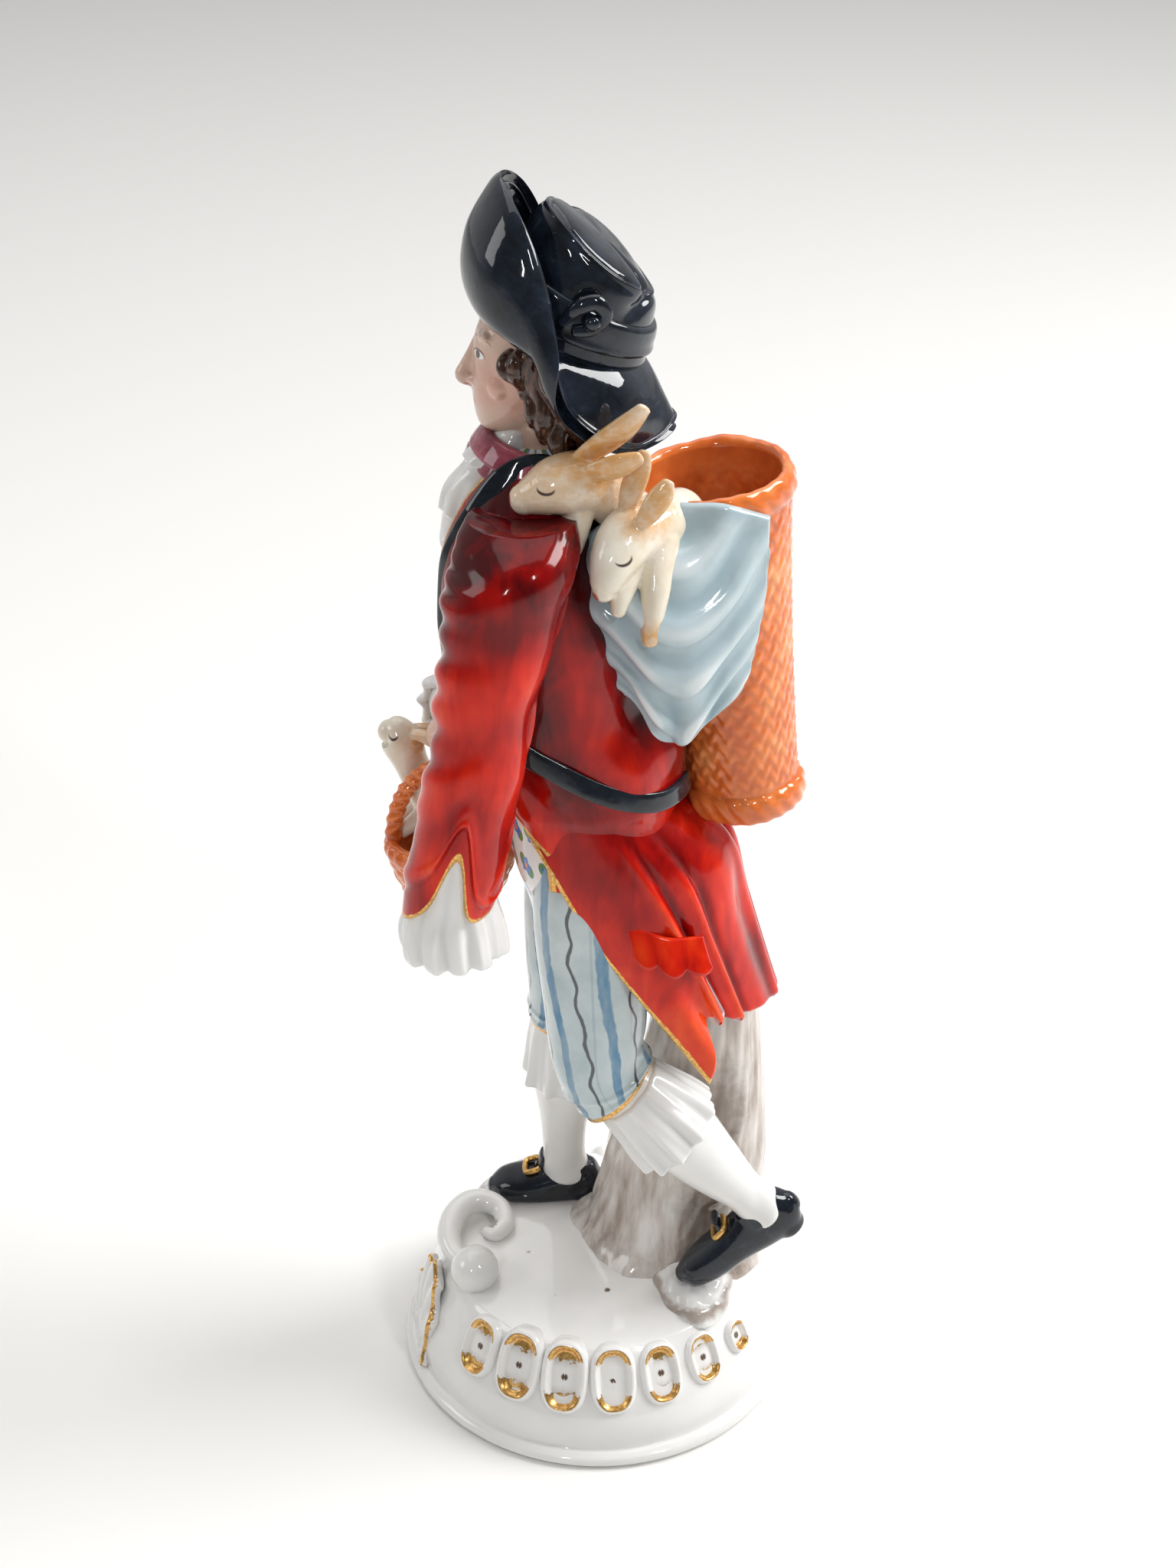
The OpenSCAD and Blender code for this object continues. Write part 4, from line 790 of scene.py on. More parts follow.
# %% Stump
stump_rows = [[-5, 14.5, -1, 1.78, 2.04], [-5, 15, 2, 1.6, 1.92], [-5, 15.8, 6, 1.44, 1.74], [-5, 17, 15, 1.3, 1.6],
              [-5, 18, 25, 1.25, 1.52], [-5, 20, 44, 1.08, 1.2], [-5, 20.4, 64, 0.95, 0.92],
              [-4, 17.5, 80, 0.85, 0.78], [-2, 11, 96, 0.8, 0.7]]
stump = limb(stump_rows, 20, 190, 200)
t, a = lay_of(stump)
drift = a * TURN + 0.5 * np.sin(4 * t + 1)
bark = (0.55 * np.sin(4 * drift + 0.7) + 0.32 * np.sin(9 * drift + 5 * t) + 0.2 * np.sin(17 * drift - 8 * t + 2)
        + 0.12 * np.sin(31 * drift + 14 * t))
roots = 1.3 * np.cos(5 * drift + 0.4) * ramp(t, 0.22, 0.0)
KNOTS = ((0.42, 0.06, 0.9), (0.62, 0.93, -0.8), (0.3, 0.3, 1.0), (0.55, 0.55, 0.9), (0.25, 0.7, -0.7))
knots = sum(height * ridge(t - at_t, 0.03) * ridge((a - at_a + 0.5) % 1 - 0.5, 0.035) for at_t, at_a, height in KNOTS)
stump = swell(stump, 0.5 * bark + roots + knots)


def bark_glaze():
    e = Enamel("bark glaze", roughness=0.14)
    streak = e.noise(2.4, stretch=(1, 1, 9), detail=5.0, rough=0.6)
    cloud = e.noise(10, detail=2.0)
    tone = e.calc("ADD", e.calc("MULTIPLY", streak, 0.65), e.calc("MULTIPLY", cloud, 0.35))
    # Bark grooves are darkened: pooled glaze plus painted shade.
    tone = e.calc("SUBTRACT", tone, e.calc("MULTIPLY", e.mark("pool"), 0.14))
    colour = e.shades(tone, (0.28, (0.36, 0.29, 0.245)), (0.42, (0.57, 0.51, 0.46)), (0.56, (0.71, 0.67, 0.63)),
                      (0.75, (0.8, 0.78, 0.75)))
    for centre, radii in (((10, 22, 38), (9, 5, 9)), ((6, 24, 60), (6, 5, 10)), ((9, 26, 27), (9, 6, 4))):
        shadow = e.spot(centre, radii, soft=0.75, wobble=e.map(e.noise(3), 0, 1, -0.4, 0.4))
        colour = e.blend(e.calc("MULTIPLY", shadow, 0.8), colour, (0.13, 0.085, 0.06))
    return e.done(colour, bump=0.05, ripple=1.4)


piece("bark_stump", [closed_tube(stump, {"pool": 0.5 - 0.6 * bark}, dome=0.3)], bark_glaze(),
      ["tree_stump"])

# %% [markdown]
# A small flat rock carries the toe of the left shoe. It is a squat limb made uneven,
# and brown paint has settled in a ring part of the way up.

# %% Rock
rock_rows = [[13, 19, -1, 9.5, 8], [13, 19, 1.6, 8.6, 7.2], [13, 19.3, 3.2, 6.4, 5.2], [13, 19.5, 4.3, 3, 2.4]]
rock = limb(rock_rows, 2, 50, 120)
t, a = lay_of(rock)
rock = swell(rock, 0.5 * np.sin(3 * TURN * a + 1) + 0.3 * np.sin(7 * TURN * a + 6 * t) - 0.4 * ridge(t - 0.5, 0.12))


def rock_glaze():
    e = Enamel("rock glaze", roughness=0.12)
    wander = e.map(e.noise(2.2, detail=3.0), 0, 1, -0.14, 0.14)
    low = e.calc("ADD", e.mark("rise"), wander)
    colour = e.blend(e.calc("MULTIPLY", e.line(low, 0.3, 0.13, 0.9), 0.75), white_colour(e), (0.26, 0.18, 0.13))
    return e.done(colour)


piece("ground_stone", [closed_tube(rock, {"rise": t}, dome=0.25)], rock_glaze(), ["ground_rock"])

# %% [markdown]
# The stockinged legs are plain white. The left leg pushes off behind, so its calf is
# nearly level; the right one stands. A frill falls out of each breeches leg over the
# knee: a sheet in soft pleats that deepen towards the hem.

# %% Stockings and knee frills
CALF_D, KNEE_PLEATS = 14.5, 9
left_calf = [[12.4, 2.5, 52.5, 0.95, 0.95, 45], [13, 9, 46.5, 1.0, 1.02, 46], [13.4, 15, 40.5, 1.0, 1.05, 47],
             [13.8, 22, 32.5, 0.8, 0.82, 48], [14, 27.5, 26.5, 0.6, 0.6, 48], [14, 32.5, 21.5, 0.58, 0.6, 50]]
right_calf = [[-11.2, -5.2, 52, 0.92, 0.92], [-11.8, -5.4, 42, 0.98, 1.02], [-12.6, -6, 33, 0.92, 0.96],
              [-14, -6.8, 22, 0.66, 0.68], [-14.8, -6.9, 13, 0.56, 0.6], [-15, -6.5, 7, 0.6, 0.68]]
left_frill = [[12.8, 5, 50.5, 1.02, 1.02, 45], [13.1, 9, 46.5, 1.14, 1.14, 46], [13.3, 12.5, 43, 1.24, 1.26, 46],
              [13.5, 15.4, 40, 1.28, 1.3, 47]]
right_frill = [[-11.3, -5.2, 50.5, 1.04, 1.04], [-11.5, -5.3, 44, 1.14, 1.16], [-11.8, -5.4, 38, 1.2, 1.22],
               [-12, -5.6, 34, 1.22, 1.26]]
for side, calf, frill in (("left", left_calf, left_frill), ("right", right_calf, right_frill)):
    leg = limb(calf, CALF_D, 110, 96)
    t, a = lay_of(leg)
    ankle_folds = 0.14 * np.sin(26 * t + 3 * np.sin(TURN * a)) * ramp(t, 0.72, 0.9)
    piece(f"{side}_stocking_leg", [closed_tube(swell(leg, ankle_folds))], white, [f"{side}_stocking"])
    cuff = limb(frill, CALF_D, 70, 200)
    t, a = lay_of(cuff)
    fold = (np.sin(KNEE_PLEATS * TURN * a + 1.5 * np.sin(TURN * a) + 0.6 * t)
            + 0.35 * np.sin(2.3 * KNEE_PLEATS * TURN * a + 1))
    cuff = swell(cuff, 0.75 * fold * t ** 0.8)
    piece(f"{side}_knee_ruffle", [closed_sheet(cuff, 1.7, closed=True, marks={"pool": 0.4 - 0.4 * fold})], white,
          [f"{side}_knee_frill"])

# %% [markdown]
# The breeches are pale blue-grey, with blue stripes between thin black wavy lines, all
# painted freehand. The stripes must run along the leg, so the mesh carries a mark for
# how far round each point is, and the shader counts stripes on it. Gold closes the hem.

# %% Striped breeches
THIGH_D, STRIPES = 19, 6


def striped_glaze():
    e = Enamel("striped breeches glaze", roughness=0.09)
    round_leg = e.mark("round_leg")
    height = e.put("ShaderNodeSeparateXYZ", {0: e.mm}).outputs[2]
    cloud = e.noise(7, detail=3.0)
    colour = e.shades(cloud, (0.3, (0.44, 0.53, 0.545)), (0.65, (0.6, 0.68, 0.685)))
    # Creases are darkened to a deeper blue-grey: pooled glaze plus painted shade.
    colour = e.blend(e.calc("MULTIPLY", e.mark("pool"), 0.5, clamp=True), colour, (0.36, 0.46, 0.5))
    shaky = e.map(e.noise(5, detail=2.0), 0, 1, -0.05, 0.05)
    count = e.calc("FRACT", e.calc("ADD", e.calc("MULTIPLY", round_leg, float(STRIPES)), shaky))
    wave = e.calc("MULTIPLY", e.calc("SINE", e.calc("MULTIPLY", height, TURN / 8.5)), 0.045)
    black = e.line(e.calc("ADD", count, wave), 0.75, 0.032, 0.35)
    blue = e.line(count, 0.25, 0.095, 0.2)
    density = e.map(e.noise(3, stretch=(1, 1, 3), detail=3.0), 0.25, 0.75, 0.5, 0.95)
    colour = e.blend(e.calc("MULTIPLY", blue, density), colour, (0.045, 0.2, 0.36))
    colour = e.blend(e.calc("MULTIPLY", black, 0.9), colour, (0.035, 0.04, 0.05))
    from_hem = e.calc("ADD", e.mark("from_hem"), e.map(e.noise(1.5), 0, 1, -0.2, 0.2))
    return e.done(colour, gilt=e.map(from_hem, 1.15, 0.95))


left_thigh = [[7.5, -1.5, 100, 1.05, 1.2], [9.5, -1.2, 84, 1.03, 1.12], [11, -0.6, 68, 0.98, 1.0],
              [12, 0.2, 57, 0.93, 0.93, 18], [12.6, 3.4, 50.5, 0.86, 0.88, 45]]
right_thigh = [[-7.5, -2, 100, 1.05, 1.2], [-9, -3.8, 84, 1.0, 1.08], [-10, -4.8, 68, 0.95, 0.98],
               [-10.8, -5, 56, 0.9, 0.9], [-11.2, -5.2, 49.5, 0.86, 0.86]]
stripes = striped_glaze()
for side, thigh, sign in (("left", left_thigh, 1), ("right", right_thigh, -1)):
    leg = limb(thigh, THIGH_D, 130, 130)
    t, a = lay_of(leg)
    back = (a - 0.25 + 0.5) % 1 - 0.5
    creases = (0.45 * ridge(t - 0.86 - 0.03 * np.sin(TURN * a), 0.018) + 0.3 * ridge(t - 0.93, 0.02)
               + 0.4 * np.sin(16 * t + 5 * back) * ridge(back, 0.16) * ramp(t, 0.5, 0.75)
               + 0.3 * np.sin(9 * t + 2 * TURN * a * sign) * ramp(t, 0.45, 0.0))
    from_hem = run_lengths(leg, 0)[1]
    marks = {"pool": 0.3 - creases, "round_leg": a + 0.02 * np.sin(7 * t), "from_hem": from_hem}
    piece(f"{side}_breeches", [closed_tube(swell(leg, creases), marks, dome=0.12)], stripes,
          [f"{side}_breeches_leg"])

# %% [markdown]
# Shoes are black enamel. A shoe is one limb laid along the foot, flat underneath, with
# a heel block, a tongue and a raised collar round the stocking, melted together.

# %% Shoes
SHOE_W = 10.5
left_shoe_rows = [[14, 37.4, 24, 0.3, 0.4, 42], [14, 35.4, 22.3, 0.64, 1.02, 42], [14, 31.4, 18.6, 0.74, 1.02, 42],
                  [14, 26.8, 14.2, 0.86, 0.78, 42], [14, 22.6, 9.9, 0.92, 0.7, 42], [14, 18.8, 6.4, 0.78, 0.56, 42],
                  [14, 16.4, 4.8, 0.36, 0.3, 42]]
right_shoe_rows = [[-14.8, 0.6, 4.4, 0.3, 0.5], [-14.8, -1.2, 4.6, 0.64, 0.96], [-15, -5.5, 4.6, 0.76, 0.92],
                   [-15.4, -11, 3.7, 0.9, 0.78], [-15.8, -16, 3.0, 0.94, 0.64], [-16.2, -20, 2.4, 0.76, 0.46],
                   [-16.3, -22.2, 1.9, 0.34, 0.22]]


def black_enamel(name="black enamel", blue=1.0):
    e = Enamel(name, roughness=0.06, coat=0.2)
    cloud = e.noise(4, detail=4.0, warp=0.5)
    colour = e.shades(cloud, (0.3, (0.004, 0.005, 0.007)), (0.6, (0.012, 0.017, 0.026 * blue)),
                      (0.8, (0.03, 0.038, 0.048 * blue)))
    colour = e.blend(e.calc("MULTIPLY", e.map(e.noise(0.4, detail=5.0), 0.66, 0.72), 0.5), colour, (0.09, 0.095, 0.1))
    return e.done(colour, bump=0.05, ripple=2.2)


def shoe(rows, tilt, heel, collar, tongue):
    body = limb([r[:5] + [tilt + 90, 0] for r in rows], SHOE_W, 80, 72, 2.4)
    collar_ring = limb(collar, SHOE_W, 24, 64)
    heel_block = rope(placed(heel), [2.9, 3.2, 3.0], up=(0, 1, 0), rings=20)
    tongue_flap = rope(placed(tongue), [1.5, 2.3, 2.2], up=(0, 1, 0.5), flat=0.4)
    return [closed_tube(body, dome=0.6), closed_tube(heel_block, dome=0.2),
            closed_sheet(collar_ring, 1.5, closed=True), closed_tube(tongue_flap)]


black = black_enamel()
left_shells = shoe(left_shoe_rows, 42, [[14, 34.8, 21.5], [14, 36.6, 18.6], [14, 37.6, 17.4]],
                   [[14, 31, 19.5, 0.78, 0.98, 42], [14, 29.8, 22.4, 0.74, 0.86, 44], [14, 29.4, 24.2, 0.7, 0.8, 44]],
                   [[14, 24, 14.2], [14, 23.4, 17.6], [14, 22.4, 19.6]])
right_shells = shoe(right_shoe_rows, 0, [[-14.8, -1.6, 4], [-14.8, -1.8, 1.4], [-14.8, -1.8, 0]],
                    [[-15, -5.4, 5, 0.8, 1.0], [-15, -5.6, 8, 0.74, 0.86], [-15, -5.8, 10, 0.7, 0.78]],
                    [[-15.4, -12.5, 5.8], [-15.3, -11.6, 9], [-15.2, -11, 11.2]])
piece("left_black_shoe", left_shells, black, ["left_shoe"], melt=0.3, soften=5)
piece("right_black_shoe", right_shells, black, ["right_shoe"], melt=0.3, soften=5)

# %% [markdown]
# A buckle is a small squarish ring of round wire, gilt all over. Its path and its
# thickness are both ovals, one carried round the other, so no ends need closing.

# %% Buckles
BUCKLE_W, BUCKLE_H, WIRE_R, BUCKLE_SIDES, WIRE_SIDES = 2.1, 1.7, 0.6, 72, 20
gilding = Enamel("gilding", roughness=GOLD_ROUGH)
gilding.shader.inputs["Metallic"].default_value = GOLD_METAL
gold_leaf = gilding.done(gilding.gold())
for side, tilt in (("left", 56), ("right", 18)):
    low, high = (np.array(c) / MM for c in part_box(f"{side}_buckle"))
    a = np.linspace(0, TURN, BUCKLE_SIDES, endpoint=False)
    loop = np.stack([BUCKLE_W * np.sign(np.cos(a)) * abs(np.cos(a)) ** 0.6,
                     BUCKLE_H * np.sign(np.sin(a)) * abs(np.sin(a)) ** 0.6, 0 * a], -1)
    b = np.linspace(0, TURN, WIRE_SIDES, endpoint=False)[None, :, None]
    lift = loop / np.linalg.norm(loop, axis=1, keepdims=True)
    ring = loop[:, None] + WIRE_R * (np.cos(b) * lift[:, None] + np.sin(b) * np.array([0, 0, 1.0]))
    ring = rotated(ring, "x", math.radians(tilt)) + (low + high) / 2
    points = ring.reshape(-1, 3)
    i, j = np.meshgrid(np.arange(BUCKLE_SIDES), np.arange(WIRE_SIDES), indexing="ij")
    here, ahead = i * WIRE_SIDES, (i + 1) % BUCKLE_SIDES * WIRE_SIDES
    beside = (j + 1) % WIRE_SIDES
    quads = np.stack([here + j, ahead + j, ahead + beside, here + beside], -1)
    shells = [(points, facing_out(points, quads.reshape(-1, 4).tolist()), {})]
    piece(f"{side}_gilt_buckle", shells, gold_leaf, [f"{side}_buckle"])

# %% [markdown]
# The trunk wears a white waistcoat strewn with blue flowers and green leaves. Only a
# part of it shows, between the coat's fronts and below them. The flowers are painted
# freehand at even distances: the shader tiles the cloth into cells by height and by
# distance round, turns each into polar places, and draws five petals there.

# %% Waistcoat
TRUNK_W, TRUNK_D = 41, 29
coat_rows = [[0, -3, 96, 0.84, 1.0], [0, -4.5, 108, 0.82, 0.99], [0, -8.5, 120, 0.83, 0.98],
             [0, -11.8, 133, 0.9, 1.02], [0, -12.8, 146, 0.96, 1.0], [0, -12.7, 158, 1.0, 0.92],
             [0, -11.6, 166, 0.9, 0.76], [0, -11, 171.5, 0.62, 0.56], [0, -10.6, 175, 0.42, 0.44]]
hem_rows = [[0, -0.5, 80, 0.8, 0.9], [0, -1.2, 88, 0.78, 0.96]]
trunk_rows = hem_rows + coat_rows
trunk = limb(trunk_rows, (TRUNK_W - 4, TRUNK_D - 4), 200, 190, 2.3)
t, a = lay_of(trunk)
front = (a - 0.75 + 0.5) % 1 - 0.5
z_mark = (trunk[..., 2] - GROUND) / K
trunk = swell(trunk, 0.45 * ridge(front, 0.012) * ramp(z_mark, 174, 160) - 0.5 * ridge(front - 0.014, 0.006)
              * ramp(z_mark, 170, 155) - 1.6 * ridge(front, 0.03) * ramp(z_mark, 96, 82))


def flowered_glaze():
    e = Enamel("flowered waistcoat glaze")
    colour = white_colour(e)
    u = e.calc("MULTIPLY", e.mark("round_mm"), 1 / 6.4)
    v = e.calc("MULTIPLY", e.mark("height_mm"), 1 / 6.8)
    row = e.calc("FLOOR", v)
    u = e.calc("ADD", u, e.calc("MULTIPLY", row, 0.5))
    lean = e.calc("MULTIPLY", e.calc("SINE", e.calc("ADD", e.calc("MULTIPLY", row, 2.3), e.calc("FLOOR", u))), 0.1)
    fu = e.calc("SUBTRACT", e.calc("ADD", e.calc("FRACT", u), lean), 0.5)
    fv = e.calc("SUBTRACT", e.calc("FRACT", v), 0.5)
    far = e.calc("SQRT", e.calc("ADD", e.calc("MULTIPLY", fu, fu), e.calc("MULTIPLY", fv, fv)))
    turn = e.calc("ARCTAN2", fv, fu)
    petal = e.calc("MULTIPLY", e.calc("COSINE", e.calc("MULTIPLY", turn, 5.0)), 0.05)
    flower = e.map(e.calc("SUBTRACT", far, petal), 0.255, 0.215)
    leaf_turn = e.calc("MULTIPLY", e.calc("COSINE", e.calc("ADD", e.calc("MULTIPLY", turn, 2.0), 1.2)), 0.16)
    leaf = e.map(e.calc("SUBTRACT", far, leaf_turn), 0.3, 0.26)
    colour = e.blend(leaf, colour, (0.1, 0.27, 0.09))
    shade = e.shades(e.noise(0.8), (0.3, (0.03, 0.1, 0.4)), (0.7, (0.12, 0.28, 0.62)))
    colour = e.blend(flower, colour, shade)
    colour = e.blend(e.map(far, 0.1, 0.06), colour, (0.75, 0.2, 0.02))
    return e.done(colour, gilt=e.map(e.mark("height_mm"), 81.6, 81.2))


round_mm = a * TURN * 17
piece("flowered_waistcoat", [closed_tube(trunk, {"round_mm": round_mm + 0 * t, "height_mm": z_mark}, dome=0.1)],
      flowered_glaze(), ["waistcoat"])

# %% [markdown]
# The coat is a shell round the trunk, open down the front in a long narrow gap that
# widens below. Its two front edges carry a brushed gold line. Long soft folds run from
# the shoulder to the waist, where a seam shows. The sheet goes from one front edge
# round the back to the other, so "across" is the way round the body.

# %% Coat body
def puffed(way, z):
    """How far the coat bags out at the back, below the shoulders."""
    return (7 + 3 * ramp(z, 132, 120)) * ridge(way - 0.46, 0.17) * ramp(z, 97, 120) * ramp(z, 168, 142)


gap_at = np.array([[4.2, 176], [4.2, 172], [4.8, 150], [6, 132], [10, 118], [16, 104], [19, 95]])
rows_n, cols_n = 165, 280
level = spaced(rows_n) * (len(coat_rows) - 1)
table = np.array(coat_rows, float)
x, y, z, w, d = through(table, level).T[:, :, None]
half_gap = np.interp(z, gap_at[::-1, 1], gap_at[::-1, 0])
start = np.arcsin(np.clip(half_gap / (w * TRUNK_W / 2), 0, 0.93))
span = start + (TURN - 2 * start) * spaced(cols_n)[None, :]
c, s = np.sin(span), -np.cos(span)
u = w * TRUNK_W / 2 * np.sign(c) * abs(c) ** (2 / 2.3)
v = d * TRUNK_D / 2 * np.sign(s) * abs(s) ** (2 / 2.3)
coat = placed(np.stack([x + u, y + v, z + 0 * u], -1))
way = span / TURN
side_fold = np.sin(TURN * (5 * way + 0.012 * z))
back_fold = 0.5 * ridge(way - 0.5, 0.006) * ramp(z, 168, 160)
folds = (0.35 * side_fold * ramp(z, 168, 150) * ramp(z, 96, 110) - back_fold
         + 0.5 * np.sin(TURN * (11 * way + 0.02 * z)) * ridge(z - 118, 9) + 0.35 * ridge(z - 112, 1.6))
lapel = 0.55 * ramp(abs(way - 0.5), 0.33, 0.36) * ramp(z, 126, 136) * ramp(z, 172, 166)
coat = swell(coat[::-1], (folds + lapel + puffed(way, z))[::-1], closed=False)
piece("red_coat_body", [closed_sheet(coat, 2.2, marks={"pool": 0.35 - 0.5 * side_fold[::-1]})],
      red_enamel("red coat enamel", gilt=gilt_edge("side_edge", 0.2, 1.7), bright_from=178, bright_to=104),
      ["coat_body"])

# %% [markdown]
# The coat skirt is drawn as thirteen columns from the waist to the hem, spread like a
# bell and swept back by the stride. Two pleats open at each side of the back. Gold runs
# along the two front edges only, and the lining is left white.

# %% Coat skirt
skirt_half = [[[13.5, -15.5, 112], [16.5, -9.5, 101], [18.5, 0.5, 84], [20.2, 20.2, 56]],
              [[16.5, -9, 112], [19.5, -1.5, 99], [20.8, 9, 82], [20.4, 21.5, 62]],
              [[17.8, -3, 112], [20.2, 5, 98], [20, 13.5, 82], [17.2, 19.5, 69]],
              [[16, 3, 112], [17.5, 12.5, 98], [17, 19, 83], [14.5, 24.5, 67]],
              [[10.5, 7.5, 112], [11, 19.5, 99], [10.5, 24, 84], [9, 29.5, 65.5]],
              [[5, 9.4, 112], [4.5, 23, 100], [4.2, 27, 85], [4, 33.4, 64.5]],
              [[0, 9.8, 112], [0, 22.4, 100], [0, 27.8, 85], [0, 34.4, 63.5]]]
skirt_columns = np.array(skirt_half + [[[-p[0], p[1], p[2]] for p in column] for column in skirt_half[-2::-1]], float)
skirt, down, across = drawn_sheet(placed(np.swapaxes(skirt_columns, 0, 1)), 145, 320)
half = abs(across - 0.5)
pleats = (1.2 * ridge(half - 0.285, 0.012) - 1.0 * ridge(half - 0.265, 0.01) + 0.9 * ridge(half - 0.225, 0.011)
          - 0.8 * ridge(half - 0.205, 0.009) + 0.45 * np.sin(TURN * 8 * half) * ridge(half - 0.1, 0.09)
          - 0.9 * ridge(half, 0.006))
pleats = pleats * ramp(down, 0.05, 0.5) + 0.5 * np.sin(9 * half + 5 * down) * down
skirt = swell(skirt, pleats, closed=False)
skirt_paint = red_enamel("red skirt enamel", gilt=gilt_edge("side_edge", 0.2, 1.75), bright_from=150,
                         bright_to=112, lining=True)
piece("red_coat_skirt", [closed_sheet(skirt, 2.3, marks={"pool": 0.35 - 0.8 * pleats})], skirt_paint,
      ["coat_skirt"])

# %% [markdown]
# Each pocket is only a flap with three scallops, modelled as a fold of the skirt: its
# upper edge sinks into the cloth and its lower edge stands away from it.

# %% Pocket flaps
FLAP_SCALLOPS = 3
flap_grid = [[[19.8, 4, 93], [20.9, 11.5, 90], [19.2, 18.5, 89]],
             [[22.3, 6, 86], [23.3, 13, 83.5], [20.4, 20.5, 82.5]]]
flap_paint = red_enamel("red flap enamel", bright_from=150, bright_to=112)
for side, mirror in (("left", 1), ("right", -1)):
    flap, down, across = drawn_sheet(placed(flap_grid) * [mirror, 1, 1], 60, 120)
    scallop = abs(np.sin(FLAP_SCALLOPS * math.pi * across))
    flap = flap + (flap[-1:] - flap[:1]) * (0.22 * (scallop ** 0.7 - 0.5) * ramp(down, 0.55, 1.0))[..., None]
    flap = swell(flap, 0.3 * scallop * down, closed=False, side=mirror)
    piece(f"{side}_scalloped_flap", [closed_sheet(flap, 1.5, side=mirror, marks={"pool": 0.4 - 0.5 * scallop})],
          flap_paint, [f"{side}_pocket_flap"])

# %% [markdown]
# The two sleeves are round limbs that start inside the shoulders. Each is drawn longer
# than it ends up, then its rows are pulled back to a scalloped lower edge with a notch
# over the wrist. Wrinkles gather at the bend of the elbow, and gold follows the hem.

# %% Sleeves
SLEEVE_D, SLEEVE_SIDES, SLEEVE_RINGS = 17, 190, 420
left_arm = [[15.5, -12.5, 168, 0.95, 1.05], [20.5, -13.4, 163.5, 1.08, 1.2], [22.6, -15.6, 156, 1.06, 1.18],
            [24, -18, 143, 0.98, 1], [25, -20.6, 128, 0.95, 0.96], [25, -23.4, 113, 0.95, 0.98],
            [24.6, -25.4, 102, 1, 1.02, 12], [24.4, -26, 98.5, 0.96, 0.98, 16]]
right_arm = [[-15.5, -12.5, 168, 0.95, 1.05], [-20.5, -13.2, 163.5, 1.08, 1.2], [-22.8, -13.8, 156, 1.06, 1.16],
             [-25, -14, 142, 0.98, 1], [-26, -14.6, 129, 0.96, 1, -20, 6], [-24.6, -17.8, 120, 0.92, 0.96, -56, 30],
             [-20.8, -21.4, 116.4, 0.92, 0.92, -80, 50], [-17, -24, 115.4, 0.96, 0.96, -82, 54]]


def sleeve(rows, scallop_side, cut_side, reach):
    """Sleeve whose lower edge runs as a smooth closed curve of shares of its length."""
    full = limb(rows, SLEEVE_D, SLEEVE_RINGS, SLEEVE_SIDES)
    t, a = np.linspace(0, 1, SLEEVE_RINGS // 2)[:, None], (np.arange(SLEEVE_SIDES) / SLEEVE_SIDES)[None, :]
    ends = through(np.array(reach)[:, None], a[0] * len(reach), closed=True)[:, 0]
    at = t * (1 + (ends[None, :] - 1) * ramp(t, 0.4, 1)) * (SLEEVE_RINGS - 1)
    low = np.clip(at.astype(int), 0, SLEEVE_RINGS - 2)
    column = np.broadcast_to(np.arange(SLEEVE_SIDES)[None, :], low.shape)
    arm = full[low, column] + (full[low + 1, column] - full[low, column]) * (at - low)[..., None]
    ahead = (a - scallop_side + 0.5) % 1 - 0.5
    behind = (a - cut_side + 0.5) % 1 - 0.5
    wrinkle = np.sin(TURN * 15 * t + 1.6 * np.cos(TURN * a) + 0.5)
    folds = (0.5 * wrinkle * ridge(ahead, 0.14) * ridge(t - 0.42, 0.22) + 0.4 * np.sin(TURN * 5 * t + 4 * ahead)
             * ridge(t - 0.5, 0.3) + 0.5 * np.sin(TURN * (3 * a + 1.4 * t)) * ridge(t - 0.14, 0.12)
             + 0.45 * ridge(t - 0.86 - 0.015 * np.sin(TURN * a), 0.02) - 0.25 * ridge(t - 0.885, 0.012))
    folds = folds * ramp(t, 1.0, 0.97) + 0.35 * ridge(behind, 0.1) * ramp(t, 0.85, 1)
    marks = {"pool": 0.4 - 0.7 * folds, "hem": run_lengths(arm, 0)[1], "outside": 1.0}
    return closed_tube(swell(arm, folds), marks, dome=0.05)


LEFT_EDGE = [0.7, 0.93, 1.0, 0.98, 0.96, 0.95, 0.95, 0.95, 0.93, 0.91, 0.88, 0.82]
RIGHT_EDGE = [0.96, 0.97, 1.0, 0.98, 0.97, 0.96, 0.9, 0.96, 0.97, 0.98, 0.97, 0.96]
sleeve_worn = [((24, -26, 158), (3, 3, 3.2)), ((18, -24, 163), (4, 3, 2.5))]
sleeve_paint = red_enamel("red sleeve enamel", gilt=gilt_edge("hem", -0.5, 0.8), bright_from=196, bright_to=158,
                          wear=sleeve_worn)
piece("left_red_sleeve", [sleeve(left_arm, 0.72, 0.12, LEFT_EDGE)], sleeve_paint, ["left_sleeve"])
piece("right_red_sleeve", [sleeve(right_arm, 0.78, 0.4, RIGHT_EDGE)], sleeve_paint, ["right_sleeve"])

# %% [markdown]
# White ruffles fall over the hands. Each is drawn like a knee frill, as a pleated sheet
# round the wrist, with a solid sleeve end inside it that fills the sleeve's mouth.

